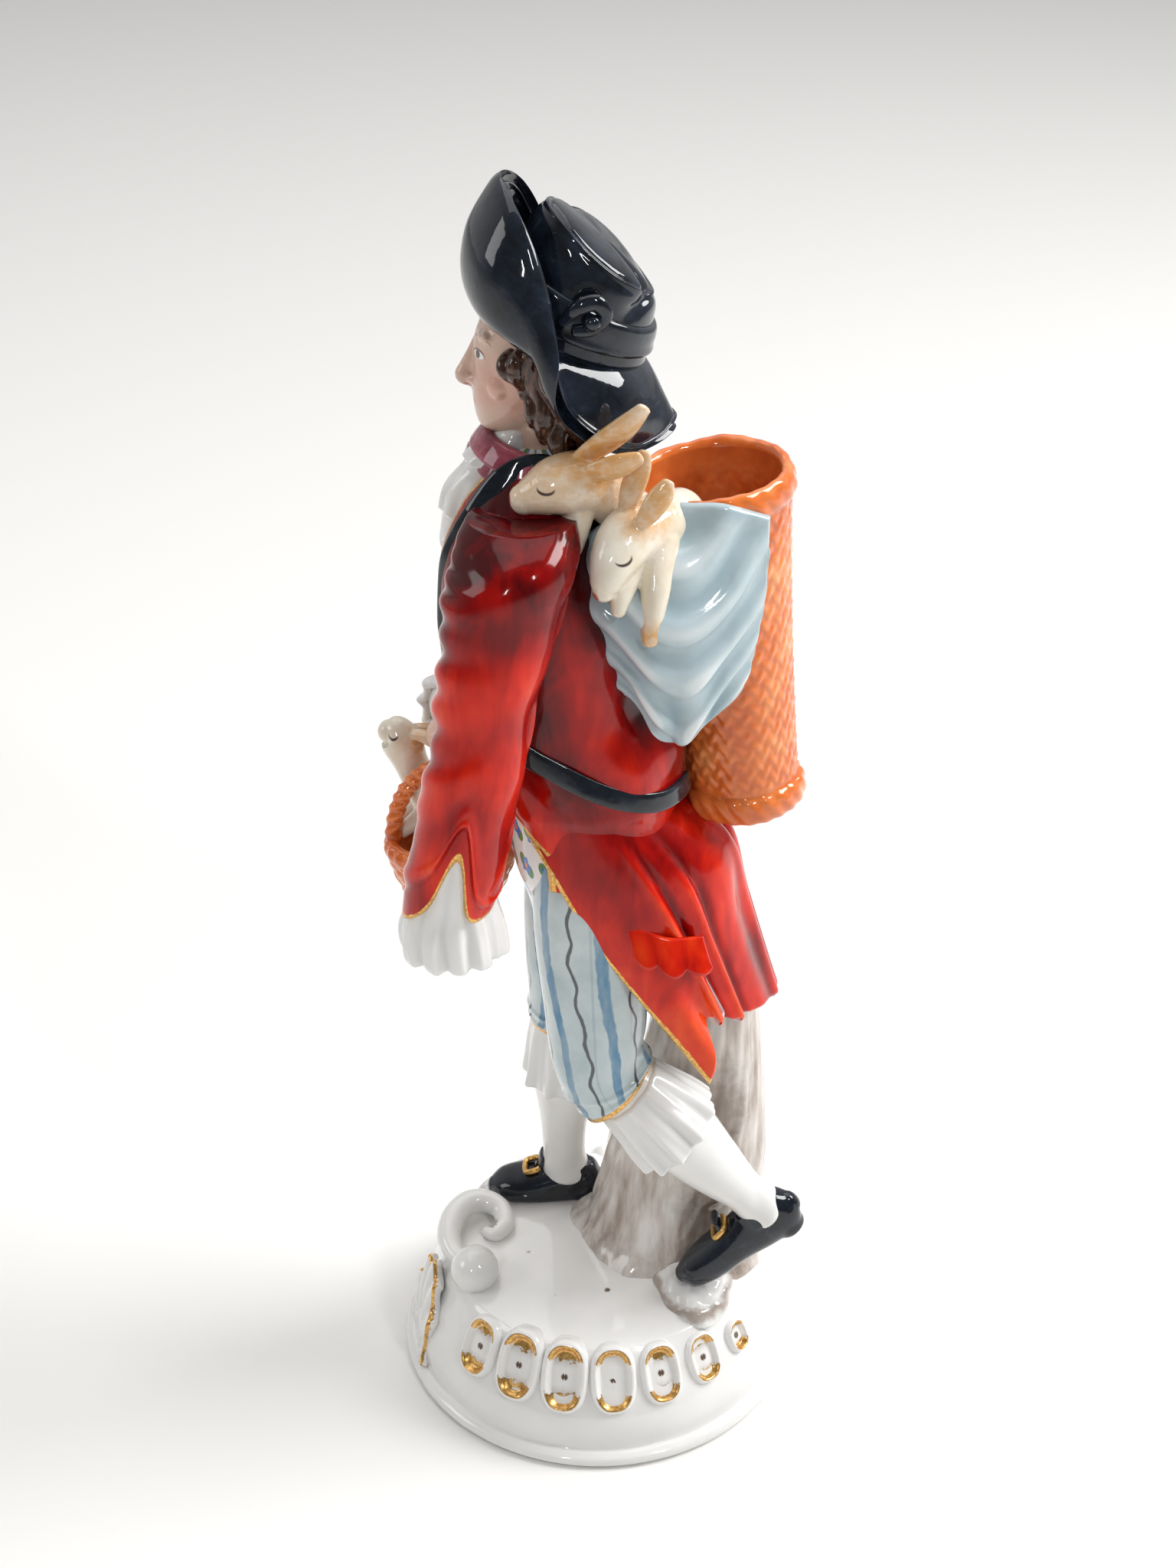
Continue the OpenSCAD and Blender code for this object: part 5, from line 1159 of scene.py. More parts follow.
# %% Cuff ruffles
left_cuff = [[25, -22.6, 117, 0.84, 0.86], [24.9, -24, 109, 0.86, 0.88], [24.6, -25.4, 101, 0.88, 0.92, 8],
             [24.6, -25.5, 96, 1.0, 1.06, 6], [24.6, -25.2, 92, 1.02, 1.08, 4], [24.5, -24.9, 90, 0.96, 1.02, 2]]
right_cuff = [[-19.4, -22.4, 116, 0.8, 0.8, -82, 54], [-16.6, -24.4, 115.4, 0.94, 0.94, -84, 55],
              [-14.8, -25.5, 115, 0.98, 0.98, -84, 57], [-13.4, -26.3, 114.8, 0.96, 0.96, -84, 58]]
for side, rows in (("left", left_cuff), ("right", right_cuff)):
    ruffle = limb(rows, SLEEVE_D, 80, 240)
    t, a = lay_of(ruffle)
    fold = np.sin(10 * TURN * a + 1.3 * np.sin(TURN * 2 * a)) + 0.3 * np.sin(23 * TURN * a + 2)
    inner = limb([r[:3] + [r[3] * 0.8, r[4] * 0.8] + r[5:] for r in rows], SLEEVE_D, 60, 96)
    ruffle = swell(ruffle, 0.55 * fold * ramp(t, 0.15, 0.75))
    plug = closed_tube(inner[:46], dome=0.2)
    pleated = closed_sheet(ruffle, 1.6, closed=True, marks={"pool": 0.5 - 0.5 * fold})
    piece(f"{side}_wrist_ruffle", [pleated, plug], white, [f"{side}_cuff_frill"])

# %% [markdown]
# The hands come out of the ruffles: a palm, four fingers and a thumb, melted into one
# skin. The left one hangs relaxed, and the right one closes round the basket's handle.

# %% Hands
HAND_D = 8


def flesh_glaze():
    e = Enamel("flesh enamel", roughness=0.12, coat=0.3)
    colour = e.shades(e.noise(5, detail=2.0), (0.3, (0.72, 0.47, 0.36)), (0.7, (0.82, 0.6, 0.48)))
    return e.done(e.blend(e.calc("MULTIPLY", e.noise(2.2), 0.25), colour, (0.7, 0.36, 0.26)), bump=0.02)


def finger(path, thick):
    path = placed(path)
    girth = np.interp(np.linspace(0, 1, len(path)), [0, 0.5, 0.85, 1], [1.05, 1.0, 0.86, 0.5]) * thick
    return closed_tube(rope(path, girth, up=(0.3, 0.1, 1), rings=26, sides=20), dome=1.0, steps=4)


flesh = flesh_glaze()
left_palm = limb([[24.6, -24.8, 96, 0.62, 0.72], [24.4, -24.6, 92, 0.78, 0.94], [24.2, -24.2, 89.5, 0.76, 0.94],
                  [24, -24, 88.4, 0.6, 0.7]], HAND_D, 30, 40)
left_fingers = [finger([[24.3, -24.2 + dy, 90], [23.9, -24 + dy * 1.05, 87.8 + lift],
                        [22.9, -23.8 + dy, 86.8 + lift]], 0.95)
                for dy, lift in ((-2.6, 0.6), (-0.9, 0), (0.9, 0.1), (2.5, 0.8))]
left_thumb = finger([[22.6, -25.4, 92.5], [21.6, -26.6, 90.2], [21.4, -26.8, 88.6]], 1.0)
piece("left_relaxed_hand", [closed_tube(left_palm)] + left_fingers + [left_thumb], flesh,
      ["left_hand"], melt=0.22, soften=4)
right_palm = limb([[-15.6, -25, 115.2, 0.6, 0.62, -84, 58], [-12.4, -26.6, 114.6, 0.8, 0.62, -86, 64],
                   [-9.4, -27.4, 113.9, 1.0, 0.62, -88, 74], [-7.4, -27.7, 113.4, 0.9, 0.56, -88, 80]],
                  HAND_D, 40, 48)
right_fingers = [finger([[-8, -27.7 + dy * 0.3, 113.4 + dy], [-5, -28.6 + dy * 0.2, 113 + dy * 1.05],
                         [-2.6, -28.3, 112 + dy], [-2.4, -26.9, 111.6 + dy * 0.9]], 0.92)
                 for dy in (-2.7, -0.9, 0.9, 2.6)]
right_thumb = finger([[-10.5, -25.9, 116], [-7.5, -25.4, 115.4], [-5, -25.8, 114.4]], 1.0)
piece("right_holding_hand", [closed_tube(right_palm)] + right_fingers + [right_thumb], flesh,
      ["right_hand"], melt=0.22, soften=4)

# %% [markdown]
# Two black straps carry the basket. They come over the shoulders, cross the chest and
# go under the arms to the back, lying flat on the coat all the way. Their path is given
# by a height and an angle round the coat, so they follow it closely.

# %% Straps
STRAP_W, STRAP_T = 3.7, 1.4
strap_route = np.array([[150, 76], [164, 66], [172, 40], [174.4, 0], [171, -42], [160, -62], [146, -58], [134, -38],
                        [126, -8], [118, 24], [114, 50], [113, 72]], float)


def on_coat(height, angle):
    row = np.stack([np.interp(height, table[:, 2], table[:, k]) for k in (0, 1, 3, 4)])
    c, s = np.cos(np.radians(angle)), np.sin(np.radians(angle))
    return np.stack([row[0] + row[2] * TRUNK_W / 2 * np.sign(c) * abs(c) ** (2 / 2.3),
                     row[1] + row[3] * TRUNK_D / 2 * np.sign(s) * abs(s) ** (2 / 2.3), height], -1)


def strap(mirror):
    at = np.linspace(0, len(strap_route) - 1, 150)
    route = through(strap_route, at)
    centre = on_coat(route[:, 0], route[:, 1])
    for _ in range(3):
        centre[1:-1] = (centre[:-2] + 2 * centre[1:-1] + centre[2:]) / 4
    spine = np.stack([0 * centre[:, 0], np.interp(centre[:, 2], table[:, 2], table[:, 1]), centre[:, 2] - 3], -1)
    out = centre - spine
    run = np.gradient(centre, axis=0)
    run /= np.linalg.norm(run, axis=1, keepdims=True)
    out -= run * (out * run).sum(1, keepdims=True)
    out /= np.linalg.norm(out, axis=1, keepdims=True)
    side = np.cross(run, out)
    a = np.linspace(0, TURN, 40, endpoint=False)[None, :, None]
    u = STRAP_W / 2 * np.sign(np.cos(a)) * abs(np.cos(a)) ** 0.6
    v = STRAP_T / 2 * np.sign(np.sin(a)) * abs(np.sin(a)) ** 0.6
    off = 0.4 + puffed(route[:, 1:2] * mirror / 360 + 0.25 + (0.5 if mirror < 0 else 0), route[:, 0:1])
    grid = placed(centre[:, None] + out[:, None] * (v + off[..., None]) + side[:, None] * u) * [mirror, 1, 1]
    return closed_tube(grid, dome=0.1, steps=3)


for side, mirror in (("left", 1), ("right", -1)):
    piece(f"{side}_basket_strap", [strap(mirror)], black, [f"{side}_strap"])

# %% [markdown]
# The neckcloth is a jabot of three small white tiers under a mauve collar that stands
# up round the neck and lies open in front.

# %% Collar and jabot
HEAD_W, HEAD_D = 18, 23
jabot_rows = [[0, -24.2, 155, 0.16, 0.14], [0, -24, 158, 0.36, 0.3], [0, -21.8, 166, 0.44, 0.42],
              [0, -18.5, 171, 0.48, 0.46], [0, -15.4, 175, 0.62, 0.5], [0, -14, 177.5, 0.54, 0.38]]
jabot = limb(jabot_rows, HEAD_W, 110, 110)
t, a = lay_of(jabot)
tier = (3.2 * t) % 1
fold = np.sin(8 * TURN * a + 4 * t)
jabot = swell(jabot, (0.5 * ramp(tier, 1, 0.1) + 0.3 * fold * ramp(tier, 0.9, 0.2)) * ramp(t, 0.8, 0.6))
piece("white_jabot", [closed_tube(jabot, {"pool": 0.4 - 0.4 * fold})], white, ["neckcloth"])


def mauve_enamel():
    e = Enamel("mauve enamel", roughness=0.08, coat=0.2)
    tone = e.noise(2.5, stretch=(2, 2, 1), detail=4.0)
    colour = e.shades(tone, (0.3, (0.16, 0.02, 0.035)), (0.55, (0.32, 0.07, 0.1)), (0.75, (0.52, 0.2, 0.24)))
    return e.done(colour, bump=0.03)


band = limb([[0, -11, 168.6, 1.22, 0.9, -14], [0, -10.4, 172, 1.06, 0.8, -14], [0, -10, 174.6, 1.0, 0.76, -14],
             [0, -10.2, 173.4, 1.1, 0.84, -14], [0, -10.6, 171.4, 1.2, 0.92, -14]], (HEAD_W, HEAD_D), 90, 150)
piece("mauve_collar", [closed_sheet(band, 1.0, closed=True)], mauve_enamel(), ["collar"])

# %% [markdown]
# The head turns nowhere: it looks straight ahead, under the hat. The face is a calm,
# ordinary one on drawing-book proportions: eyes half way up the head, nose ending half
# way from brow to chin, mouth a third below the nose. Each form is a soft shell, and
# one skin will melt them together.

# %% Head
EYE_Z, NOSE_Z, MOUTH_Z = 191.0, 185.6, 182.6
EYE_X, FACE_Y = 3.5, -19.4


def soft(x, y, z, rx, ry, rz):
    return ball(placed([x, y, z]), (rx, ry, rz), 28)


skull_rows = [[0, -15.4, 176.8, 0.26, 0.24], [0, -14.4, 178.4, 0.46, 0.48], [0, -12, 182.5, 0.76, 0.76],
              [0, -10.4, 188, 0.92, 0.9], [0, -9.2, 194, 1, 0.94], [0, -8, 199, 0.9, 0.8], [0, -7.4, 202, 0.62, 0.56]]
neck_rows = [[0, -9.5, 168, 0.62, 0.5], [0, -9.6, 176, 0.6, 0.5], [0, -10, 184, 0.6, 0.52]]
nose = rope(placed([[0, -19.6, 192.4], [0, -20.6, 190], [0, -21.7, 187.6], [0, -22.1, 186.2], [0, -21.0, 185.2]]),
            [0.9, 1.05, 1.25, 1.5, 1.0], up=(0, 1, 0), rings=30, sides=24)
features = [closed_tube(nose, dome=0.9), soft(0, -16.4, 177.9, 2.3, 2.3, 1.7),
            soft(0, -19.5, 183.2, 2.1, 1.0, 0.72), soft(0, -19.1, 181.9, 1.9, 1.0, 0.85)]
for m in (1, -1):
    features += [soft(m * 1.25, -20.5, 186.0, 1.0, 1.15, 0.8), soft(m * 4.7, -15.9, 186.4, 2.7, 2.4, 2.8),
                 soft(m * EYE_X, -17.9, EYE_Z, 1.7, 1.5, 1.25), soft(m * 3.4, -18.2, 194.4, 3.0, 1.5, 0.9),
                 soft(m * 9.0, -8.4, 188.4, 0.9, 1.6, 2.7), soft(m * 9.1, -7.5, 190.2, 0.8, 1.5, 1.7)]


# %% [markdown]
# The face's flesh tint is darker than the hands', as painted shade from the hat. The features are painted over it: a
# blush on the cheeks, eyes, lashes, brows, nostrils and lips. An arc, such as a lash or a brow, is one soft ellipsoid
# with a second one, moved a little lower, taken away from it.

# %% Face paint
def face_in_hat_shade():
    e = Enamel("painted face", roughness=0.12, coat=0.3)

    def at(x, y, z):
        return placed([x, y, z])

    # Flesh darker than the hands': painted shade from the hat.
    colour = e.shades(e.noise(5, detail=2.0), (0.3, (0.6, 0.4, 0.31)), (0.7, (0.7, 0.5, 0.4)))
    blur = e.map(e.noise(1.2), 0, 1, -0.2, 0.2)
    for m in (1, -1):
        cheek = e.spot(at(m * 6.2, -15.6, 186), (4.6, 5, 3.8), soft=0.95, wobble=blur)
        colour = e.blend(e.calc("MULTIPLY", cheek, 0.3), colour, (0.7, 0.2, 0.13))
        white_of_eye = e.spot(at(m * EYE_X, -19.2, EYE_Z), (1.6, 2, 0.66), soft=0.12)
        colour = e.blend(white_of_eye, colour, (0.83, 0.82, 0.79))
        iris = e.calc("MULTIPLY", e.spot(at(m * EYE_X, -19.3, EYE_Z + 0.05), (0.68, 2, 0.7), soft=0.15), white_of_eye)
        colour = e.blend(iris, colour, (0.1, 0.055, 0.03))
        lid_out = e.spot(at(m * EYE_X, -19.2, EYE_Z - 0.12), (1.9, 2.2, 1.12), soft=0.1)
        lid_in = e.spot(at(m * EYE_X, -19.2, EYE_Z - 0.38), (1.85, 2.4, 1.1), soft=0.1)
        lash = e.calc("MULTIPLY", lid_out, e.calc("SUBTRACT", 1.0, lid_in))
        colour = e.blend(lash, colour, (0.1, 0.045, 0.03))
        brow_out = e.spot(at(m * 3.8, -19, 193.1), (2.7, 3, 1.25), soft=0.12)
        brow_in = e.spot(at(m * 3.7, -19, 192.65), (2.9, 4, 1.25), soft=0.12)
        brow = e.calc("MULTIPLY", brow_out, e.calc("SUBTRACT", 1.0, brow_in))
        colour = e.blend(e.calc("MULTIPLY", brow, 0.85), colour, (0.16, 0.075, 0.04))
        nostril = e.spot(at(m * 0.8, -21.6, 185.2), (0.42, 0.7, 0.3), soft=0.4)
        colour = e.blend(nostril, colour, (0.5, 0.14, 0.1))
    lips = e.spot(at(0, -20, MOUTH_Z), (2.2, 1.6, 1.15), soft=0.15)
    colour = e.blend(e.calc("MULTIPLY", lips, 0.9), colour, (0.62, 0.075, 0.055))
    parting = e.spot(at(0, -20, MOUTH_Z + 0.02), (2.1, 2, 0.16), soft=0.3)
    colour = e.blend(parting, colour, (0.3, 0.02, 0.02))
    return e.done(colour, bump=0.012, ripple=4)


skull = closed_tube(limb(skull_rows, (HEAD_W, HEAD_D), 90, 90), dome=0.6)
neck = closed_tube(limb(neck_rows, (HEAD_W, HEAD_D), 30, 60))
piece("calm_head", [skull, neck] + features, face_in_hat_shade(), ["head"], melt=0.25, soften=12)

# %% [markdown]
# The hair is modelled as a mass of locks, each a rope that curls outward at its tip. It
# is drawn back and tied with a black bow at the nape. Locks lie on the head side by
# side, in three layers, so their paths are made by going round the back of the head.
# Four wavy ones fall in front of each ear, from the temple.

# %% Hair
hair_rows = [[0, -1.8, 175.4, 0.62, 0.4], [0, -1.9, 178, 0.92, 0.56], [0, -3.2, 182, 1.12, 0.68],
             [0, -4.5, 187, 1.16, 0.72], [0, -5, 191, 1.04, 0.7], [0, -5, 194, 0.8, 0.6]]
hair_mass = limb(hair_rows, (HEAD_W, HEAD_D), 80, 120)
curls = []
rng = np.random.default_rng(7)
LAYERS = ((194, 186, 0.94, 15), (190, 180, 1.08, 16), (185, 175.5, 1.02, 14))
for top_z, low_z, push, count in LAYERS:
    for k in range(count):
        angle = math.radians(-32 + (244 / (count - 1)) * k) + rng.normal(0, 0.03)
        steps = np.linspace(0, 1, 8)
        z = top_z + (low_z - top_z) * steps
        ring = through(hair_rows, np.interp(z, [r[2] for r in hair_rows], range(len(hair_rows))))
        swing = angle + 0.1 * np.sin(TURN * steps + rng.uniform(0, 6)) + 0.16 * steps * (1 if k % 2 else -1)
        grow = push + 0.03 * np.sin(math.pi * steps)
        x = ring[:, 0] + ring[:, 3] * HEAD_W / 2 * np.cos(swing) * grow
        y = ring[:, 1] + ring[:, 4] * HEAD_D / 2 * np.sin(swing) * grow
        thick = rng.uniform(1.15, 1.5) * np.array([0.6, 0.9, 1, 1, 1, 0.9, 0.75, 0.4])
        path = placed(np.stack([x, y, z], -1))
        curls.append(closed_tube(rope(path, thick, up=(0.2, 0.1, 1), rings=36, sides=18), dome=0.8))

TEMPLE_LOCKS = ((8.7, -14.6, 193, 186, 1.2), (9.3, -12.6, 193.5, 181.5, 1.5), (10, -10.4, 193.5, 178.5, 1.7),
                (10.6, -7.8, 193, 176.5, 1.8))
for m in (1, -1):
    for x, y, top_z, low_z, girth in TEMPLE_LOCKS:
        steps = np.linspace(0, 1, 9)
        lock = np.stack([m * (x + 0.7 * np.sin(9 * steps + y)), y + 0.9 * np.sin(7 * steps + x) + 2.2 * steps ** 2,
                         top_z + (low_z - top_z) * steps], -1)
        thick = girth * np.array([0.7, 1, 1.1, 1, 0.9, 1, 1.1, 0.95, 0.5])
        curls.append(closed_tube(rope(placed(lock), thick, up=(0.2, 0.1, 1), rings=44, sides=20), dome=0.8))


def hair_enamel():
    e = Enamel("brown hair enamel", roughness=0.09, coat=0.3)
    strand = e.noise(0.7, stretch=(1, 1, 5), detail=4.0, warp=0.8)
    colour = e.shades(strand, (0.3, (0.018, 0.008, 0.006)), (0.52, (0.055, 0.022, 0.013)),
                      (0.72, (0.17, 0.075, 0.042)))
    return e.done(colour, bump=0.06, ripple=1.2)


piece("brown_curls", [closed_tube(hair_mass)] + curls, hair_enamel(), ["hair"], melt=0.24, soften=1)

# %% [markdown]
# The bow at the nape is two loops and two tails, laid out as ropes and pressed flat,
# with a round knot between them. One skin melts the five together.

# %% Nape bow
bow = []
for m in (1, -1):
    for spread_out, rise, size in ((6.4, 2.2, 1.5), (4.8, -2.6, 1.2)):
        loop = placed([[0, 3.8, 174.8], [m * spread_out * 0.5, 4.4, 175.2 + rise * 0.5],
                       [m * spread_out, 4.0, 175 + rise]])
        ribbon = rope(loop, [0.7, size, size * 0.8], up=(0, 1, 0.1), flat=0.55, rings=24, sides=24)
        bow.append(closed_tube(ribbon, dome=0.8))
bow.append(ball(placed([0, 3.9, 174.8]), (1.6, 1.5, 1.5), 28))
piece("nape_bow", bow, black, ["hair_ribbon"], melt=0.22, soften=3)

# %% [markdown]
# The hat is worn tipped back. Its crown is a limb that narrows upwards, pinched by two
# long creases: a deep one that slants as it rises, and a softer one on the far side.

# %% Hat crown
HAT_SIZE = (23, 26)
crown_rows = [[0, -4.8, 194, 1, 1, -22], [0, -4, 197.5, 0.98, 0.99, -24], [0, -2.2, 203, 0.94, 0.97, -32],
              [0, -0.6, 206.5, 0.89, 0.92, -40], [0, 0, 208, 0.76, 0.79, -42]]
crown = limb(crown_rows, HAT_SIZE, 130, 170)
t, a = lay_of(crown)
crown = swell(crown, -1.1 * ridge((a - 0.03 - 0.16 * t + 0.5) % 1 - 0.5, 0.03) * ramp(t, 0.35, 0.7)
              - 0.7 * ridge((a - 0.62 + 0.5) % 1 - 0.5, 0.04) * ramp(t, 0.3, 0.8)
              + 0.3 * np.sin(3 * TURN * a + 5 * t) * t + 0.45 * ridge(t - 0.9, 0.05))
hat_black = black_enamel("hat enamel", blue=1.1)
piece("creased_crown", [closed_tube(crown, dome=0.16, steps=8)], hat_black, ["hat_crown"])

# %% [markdown]
# A ribbon goes round the foot of the crown and ends in a looped knot on the left. The
# ribbon is cut out of a finer copy of the crown's grid, so it fits the crown all round.

# %% Hat ribbon
BAND_LOW, BAND_HIGH = 195.4, 201.6
band_grid = limb(crown_rows, HAT_SIZE, 400, 170)
heights = (band_grid.mean(1)[:, 2] - GROUND) / K
picked = band_grid[(heights > BAND_LOW) & (heights < BAND_HIGH)]
strip = through(picked, spaced(30) * (len(picked) - 1))
strip = swell(strip, 0.95 + 0.05 * np.sin(12 * spaced(30))[:, None])
knot_path = placed([[12.4, -6, 199.5], [13.4, -3.5, 202.2], [13, -0.8, 202.8], [12.4, 0.6, 200.6],
                    [12.4, -1.6, 198.4], [13, -4.2, 198.2]])
knot_loop = rope(knot_path, [0.8, 1.25, 1.4, 1.3, 1.2, 0.8], up=(1, 0, 0.2), flat=0.75, rings=44, sides=22)
knot = [closed_tube(knot_loop, dome=0.8), ball(placed([13, -1.4, 199.6]), (1.3, 1.5, 1.4), 28)]
piece("ribbon_band", [closed_sheet(strip, 1.9, closed=True)] + knot, hat_black, ["hat_band"])

# %% [markdown]
# The brim is a sheet in twelve columns round the head: high and cocked in front, flat
# over the ears, and drooping in a flare behind. Its lip is thick and catches the light.

# %% Hat brim
BACK_LIFT = 1.5
brim_half = [[[0, -14, 198.5], [0, -19.4, 202], [0, -19.2, 210], [0, -14.6, 218]],
             [[4.5, -13, 198], [6.5, -17.6, 200.5], [8, -16.8, 208], [6.8, -12.6, 214.8]],
             [[7.5, -10.5, 196.5], [11, -13.8, 198.5], [12.5, -12.6, 203], [12.2, -10, 206]],
             [[9, -6.5, 195], [12.6, -8.5, 195], [14.6, -8.6, 195.2], [15.4, -8, 195.6]],
             [[9, -1.5, 193], [12.8, -2.5, 190.5], [14.8, -3.4, 187], [15.4, -3.6, 184.6]],
             [[7, 3, 191], [9.6, 4.6, 187.5], [10.6, 5.6, 182], [10, 6, 177.6]],
             [[0, 5.5, 190], [0, 8.4, 187], [0, 11, 182.4], [0, 12.6, 179.4]]]
brim_columns = brim_half + [[[-p[0], p[1], p[2] + (BACK_LIFT if i > 3 else 0)] for p in brim_half[i]]
                            for i in range(5, 0, -1)]
brim, down, across = drawn_sheet(placed(np.swapaxes(np.array(brim_columns, float), 0, 1)), 100, 330, closed=True)
dimple = 0.8 * ridge((across - 0.36 + 0.5) % 1 - 0.5, 0.03) - 0.6 * ridge((across - 0.43 + 0.5) % 1 - 0.5, 0.03)
uneven = (dimple + 0.4 * np.sin(5 * TURN * across + 1)) * ramp(down, 0.2, 0.9)
brim = swell(brim, uneven + 0.5 * ridge(down - 0.97, 0.03), side=1)
piece("cocked_brim", [closed_sheet(brim, 2.4, closed=True, side=1)], hat_black, ["hat_brim"])

# %% [markdown]
# The tall basket is modelled as real wicker is woven: upright stakes, with thin weavers that pass in front of one
# stake and behind the next, row by row. On the porcelain that relief is soft, and its hollows are painted dark brown:
# pooled glaze plus painted shade. Relief and colour use the same weave pattern. A thick twisted rim and a foot roll
# close it.

# %% Wicker glaze
def wicker_glaze():
    e = Enamel("wicker glaze", roughness=0.1, coat=0.3)
    cloud = e.noise(9, detail=3.0)
    colour = e.shades(cloud, (0.3, (0.64, 0.125, 0.02)), (0.55, (0.8, 0.21, 0.045)), (0.75, (0.88, 0.36, 0.13)))
    # Hollows of the weave are darkened: pooled glaze plus painted shade.
    hollow = e.calc("MULTIPLY", e.mark("hollow"), e.map(e.noise(2.4, detail=3.0), 0.3, 0.65, 0.25, 1.0))
    colour = e.blend(e.calc("MULTIPLY", hollow, 0.62, clamp=True), colour, (0.4, 0.05, 0.008))
    # The inside of the basket is painted darker, as painted shade.
    within = e.map(e.mark("outside"), 0.6, 0.4)
    colour = e.blend(e.calc("MULTIPLY", within, 0.3), colour, (0.4, 0.09, 0.03))
    return e.done(colour, bump=0.03)


wicker = wicker_glaze()


def weave(way, row, stakes):
    """Height of the weave, -1 to 1: rows of weavers over and under upright stakes."""
    row = row + 0.22 * np.sin(math.pi * stakes * way)
    over = np.cos(math.pi * stakes * way + math.pi * np.floor(row))
    bar = abs(np.sin(math.pi * (row % 1))) ** 0.8
    return over * bar * 0.75 + (bar - 0.6) * 0.45


print("the weave runs from", weave(np.linspace(0, 1, 500), 0.5, 44).min().round(2), "to",
      weave(np.linspace(0, 1, 500), 0.5, 44).max().round(2))

# %% [markdown]
# The basket leans with the wearer's back. It is turned about its own foot, so it is
# built upright and then tipped in place.

# %% Back basket
RIM_R, LOW_R, BASKET_H, BASKET_LEAN = 14.0, 10.25, 63, 7
FOOT_AT = np.array([-2, 26.15, 127.0])
BASKET_WALL, LIP_ROWS, WEAVER, STAKES = 2.2, 10, 1.9, 44
rows_n, cols_n = 180, 264
t = np.linspace(0, 1, rows_n)[:, None]
way = (np.arange(cols_n) / cols_n)[None, :]
basket_radius = LOW_R + (RIM_R - LOW_R) * (0.75 * t + 0.25 * t * t) + 0 * way
high = t * BASKET_H
relief = weave(way, high / WEAVER, STAKES) * ramp(high, 6, 7.5) * ramp(high, BASKET_H - 3, BASKET_H - 5)
foot = 1.3 * np.sqrt(np.clip(1 - ((high - 2.8) / 2.8) ** 2, 0, 1))
twist = np.sin(TURN * (22 * way + high / 5))
cord = 0.14 * twist * (ramp(high, 6, 5) + ramp(high, BASKET_H - 4, BASKET_H - 3))
rim_roll = 0.8 * np.sqrt(np.clip(1 - ((high - BASKET_H + 1.7) / 2.2) ** 2, 0, 1))
wobble = 0.3 * np.sin(TURN * 2 * way + 0.05 * high) + 0.16 * np.sin(TURN * 5 * way + 1)
shape_r = basket_radius - 0.5 + 0.2 * relief + foot + cord + rim_roll + wobble


def lean_basket(points):
    """From the basket's own upright place to its place on the back."""
    return rotated(np.asarray(points, float), "x", math.radians(BASKET_LEAN)) + FOOT_AT


def round_grid(radius, height, squash=1.0):
    a = TURN * np.broadcast_to(way, radius.shape)
    return np.stack([radius * np.cos(a), radius * np.sin(a) * squash, height + 0 * radius], -1)


inner_r = basket_radius - BASKET_WALL + 0.1 * relief
uneven = 0.5 * np.sin(TURN * 2 * way + 2) + 0.25 * np.sin(TURN * 7 * way) + 0.12 * np.sin(TURN * 22 * way)
outer_grid = round_grid(shape_r, high + uneven * ramp(high, BASKET_H - 8, BASKET_H))
inner_grid = round_grid(inner_r, 2.4 + high * (BASKET_H - 2.4) / BASKET_H)[::-1]
lip_angle = np.linspace(0, math.pi, LIP_ROWS + 2)[1:-1, None]
lip_mid, lip_half = (outer_grid[-1] + inner_grid[0]) / 2, (outer_grid[-1] - inner_grid[0]) / 2
lip_grid = lip_mid + lip_half * np.cos(lip_angle)[..., None] + np.array([0, 0, 1.3]) * np.sin(lip_angle)[..., None]
whole = np.concatenate([outer_grid, lip_grid, inner_grid])
# The hollow mark darkens the weave's hollows in the glaze: pooled glaze plus painted shade.
hollow = np.concatenate([0.45 - 0.7 * relief, np.full((LIP_ROWS, cols_n), 0.1), (0.5 - 0.4 * relief)[::-1]])
outside = np.concatenate([np.ones(rows_n + LIP_ROWS), np.zeros(rows_n)])[:, None]
# The inner wall ends on a floor, and the outer wall on a flat foot.
basket = closed_tube(lean_basket(whole), {"hollow": hollow, "outside": outside}, dome=0.001, steps=2)
piece("woven_back_basket", [basket], wicker, ["back_basket"])

# %% [markdown]
# The cloth hangs over the rim in swags, from two gathered corners down to a point. Its
# folds are nested curves: each fold line sags between the corners, so the height of the
# cloth is a wave of "how far down, plus how far the swag sags here".

# %% Hanging cloth
RIM_AT = lean_basket([0, 0, BASKET_H])


def from_rim(points):
    return np.asarray(points, float) * K + RIM_AT


cloth_rows = [[[15, -24, -6], [14.6, -18, -1.5], [12.4, -11, 1.6], [14.4, -5, 1.8], [15, 2, 1.5], [12.4, 9.6, -2]],
              [[16, -24.4, -15], [21, -18.4, -12], [23.4, -11.5, -11.5], [22.5, -4.5, -12], [18.2, 3.5, -13.5],
               [12.6, 9.4, -16]],
              [[17, -19.5, -26], [21.6, -14.5, -25.5], [23.8, -9.5, -26], [23, -3.5, -26], [18.8, 2.5, -26.5],
               [13.2, 7.5, -27]],
              [[17.6, -15, -30.5], [20, -11, -36], [21.4, -7, -39.5], [21, -4.5, -40], [19, 0.5, -37],
               [14.6, 5.5, -32]]]
cloth, down, across = drawn_sheet(from_rim(cloth_rows), 200, 225)
sag = 0.42 * np.sin(math.pi * across) ** 1.2
swag = np.sin(TURN * (4.2 * (down * 1.05 - sag) + 0.2 * np.sin(TURN * across)))
swag = swag * ramp(down, 0.02, 0.14) * ramp(down, 1.02, 0.8) * np.sin(math.pi * np.clip(across * 1.02, 0, 1)) ** 0.5
long_fold = 0.7 * np.sin(TURN * (3.2 * across + 0.25 * down)) * ramp(down, 0.45, 1.0)
cloth_fold = 0.75 * np.sign(swag) * abs(swag) ** 0.8 + long_fold
cloth = swell(cloth, cloth_fold, closed=False, side=1)


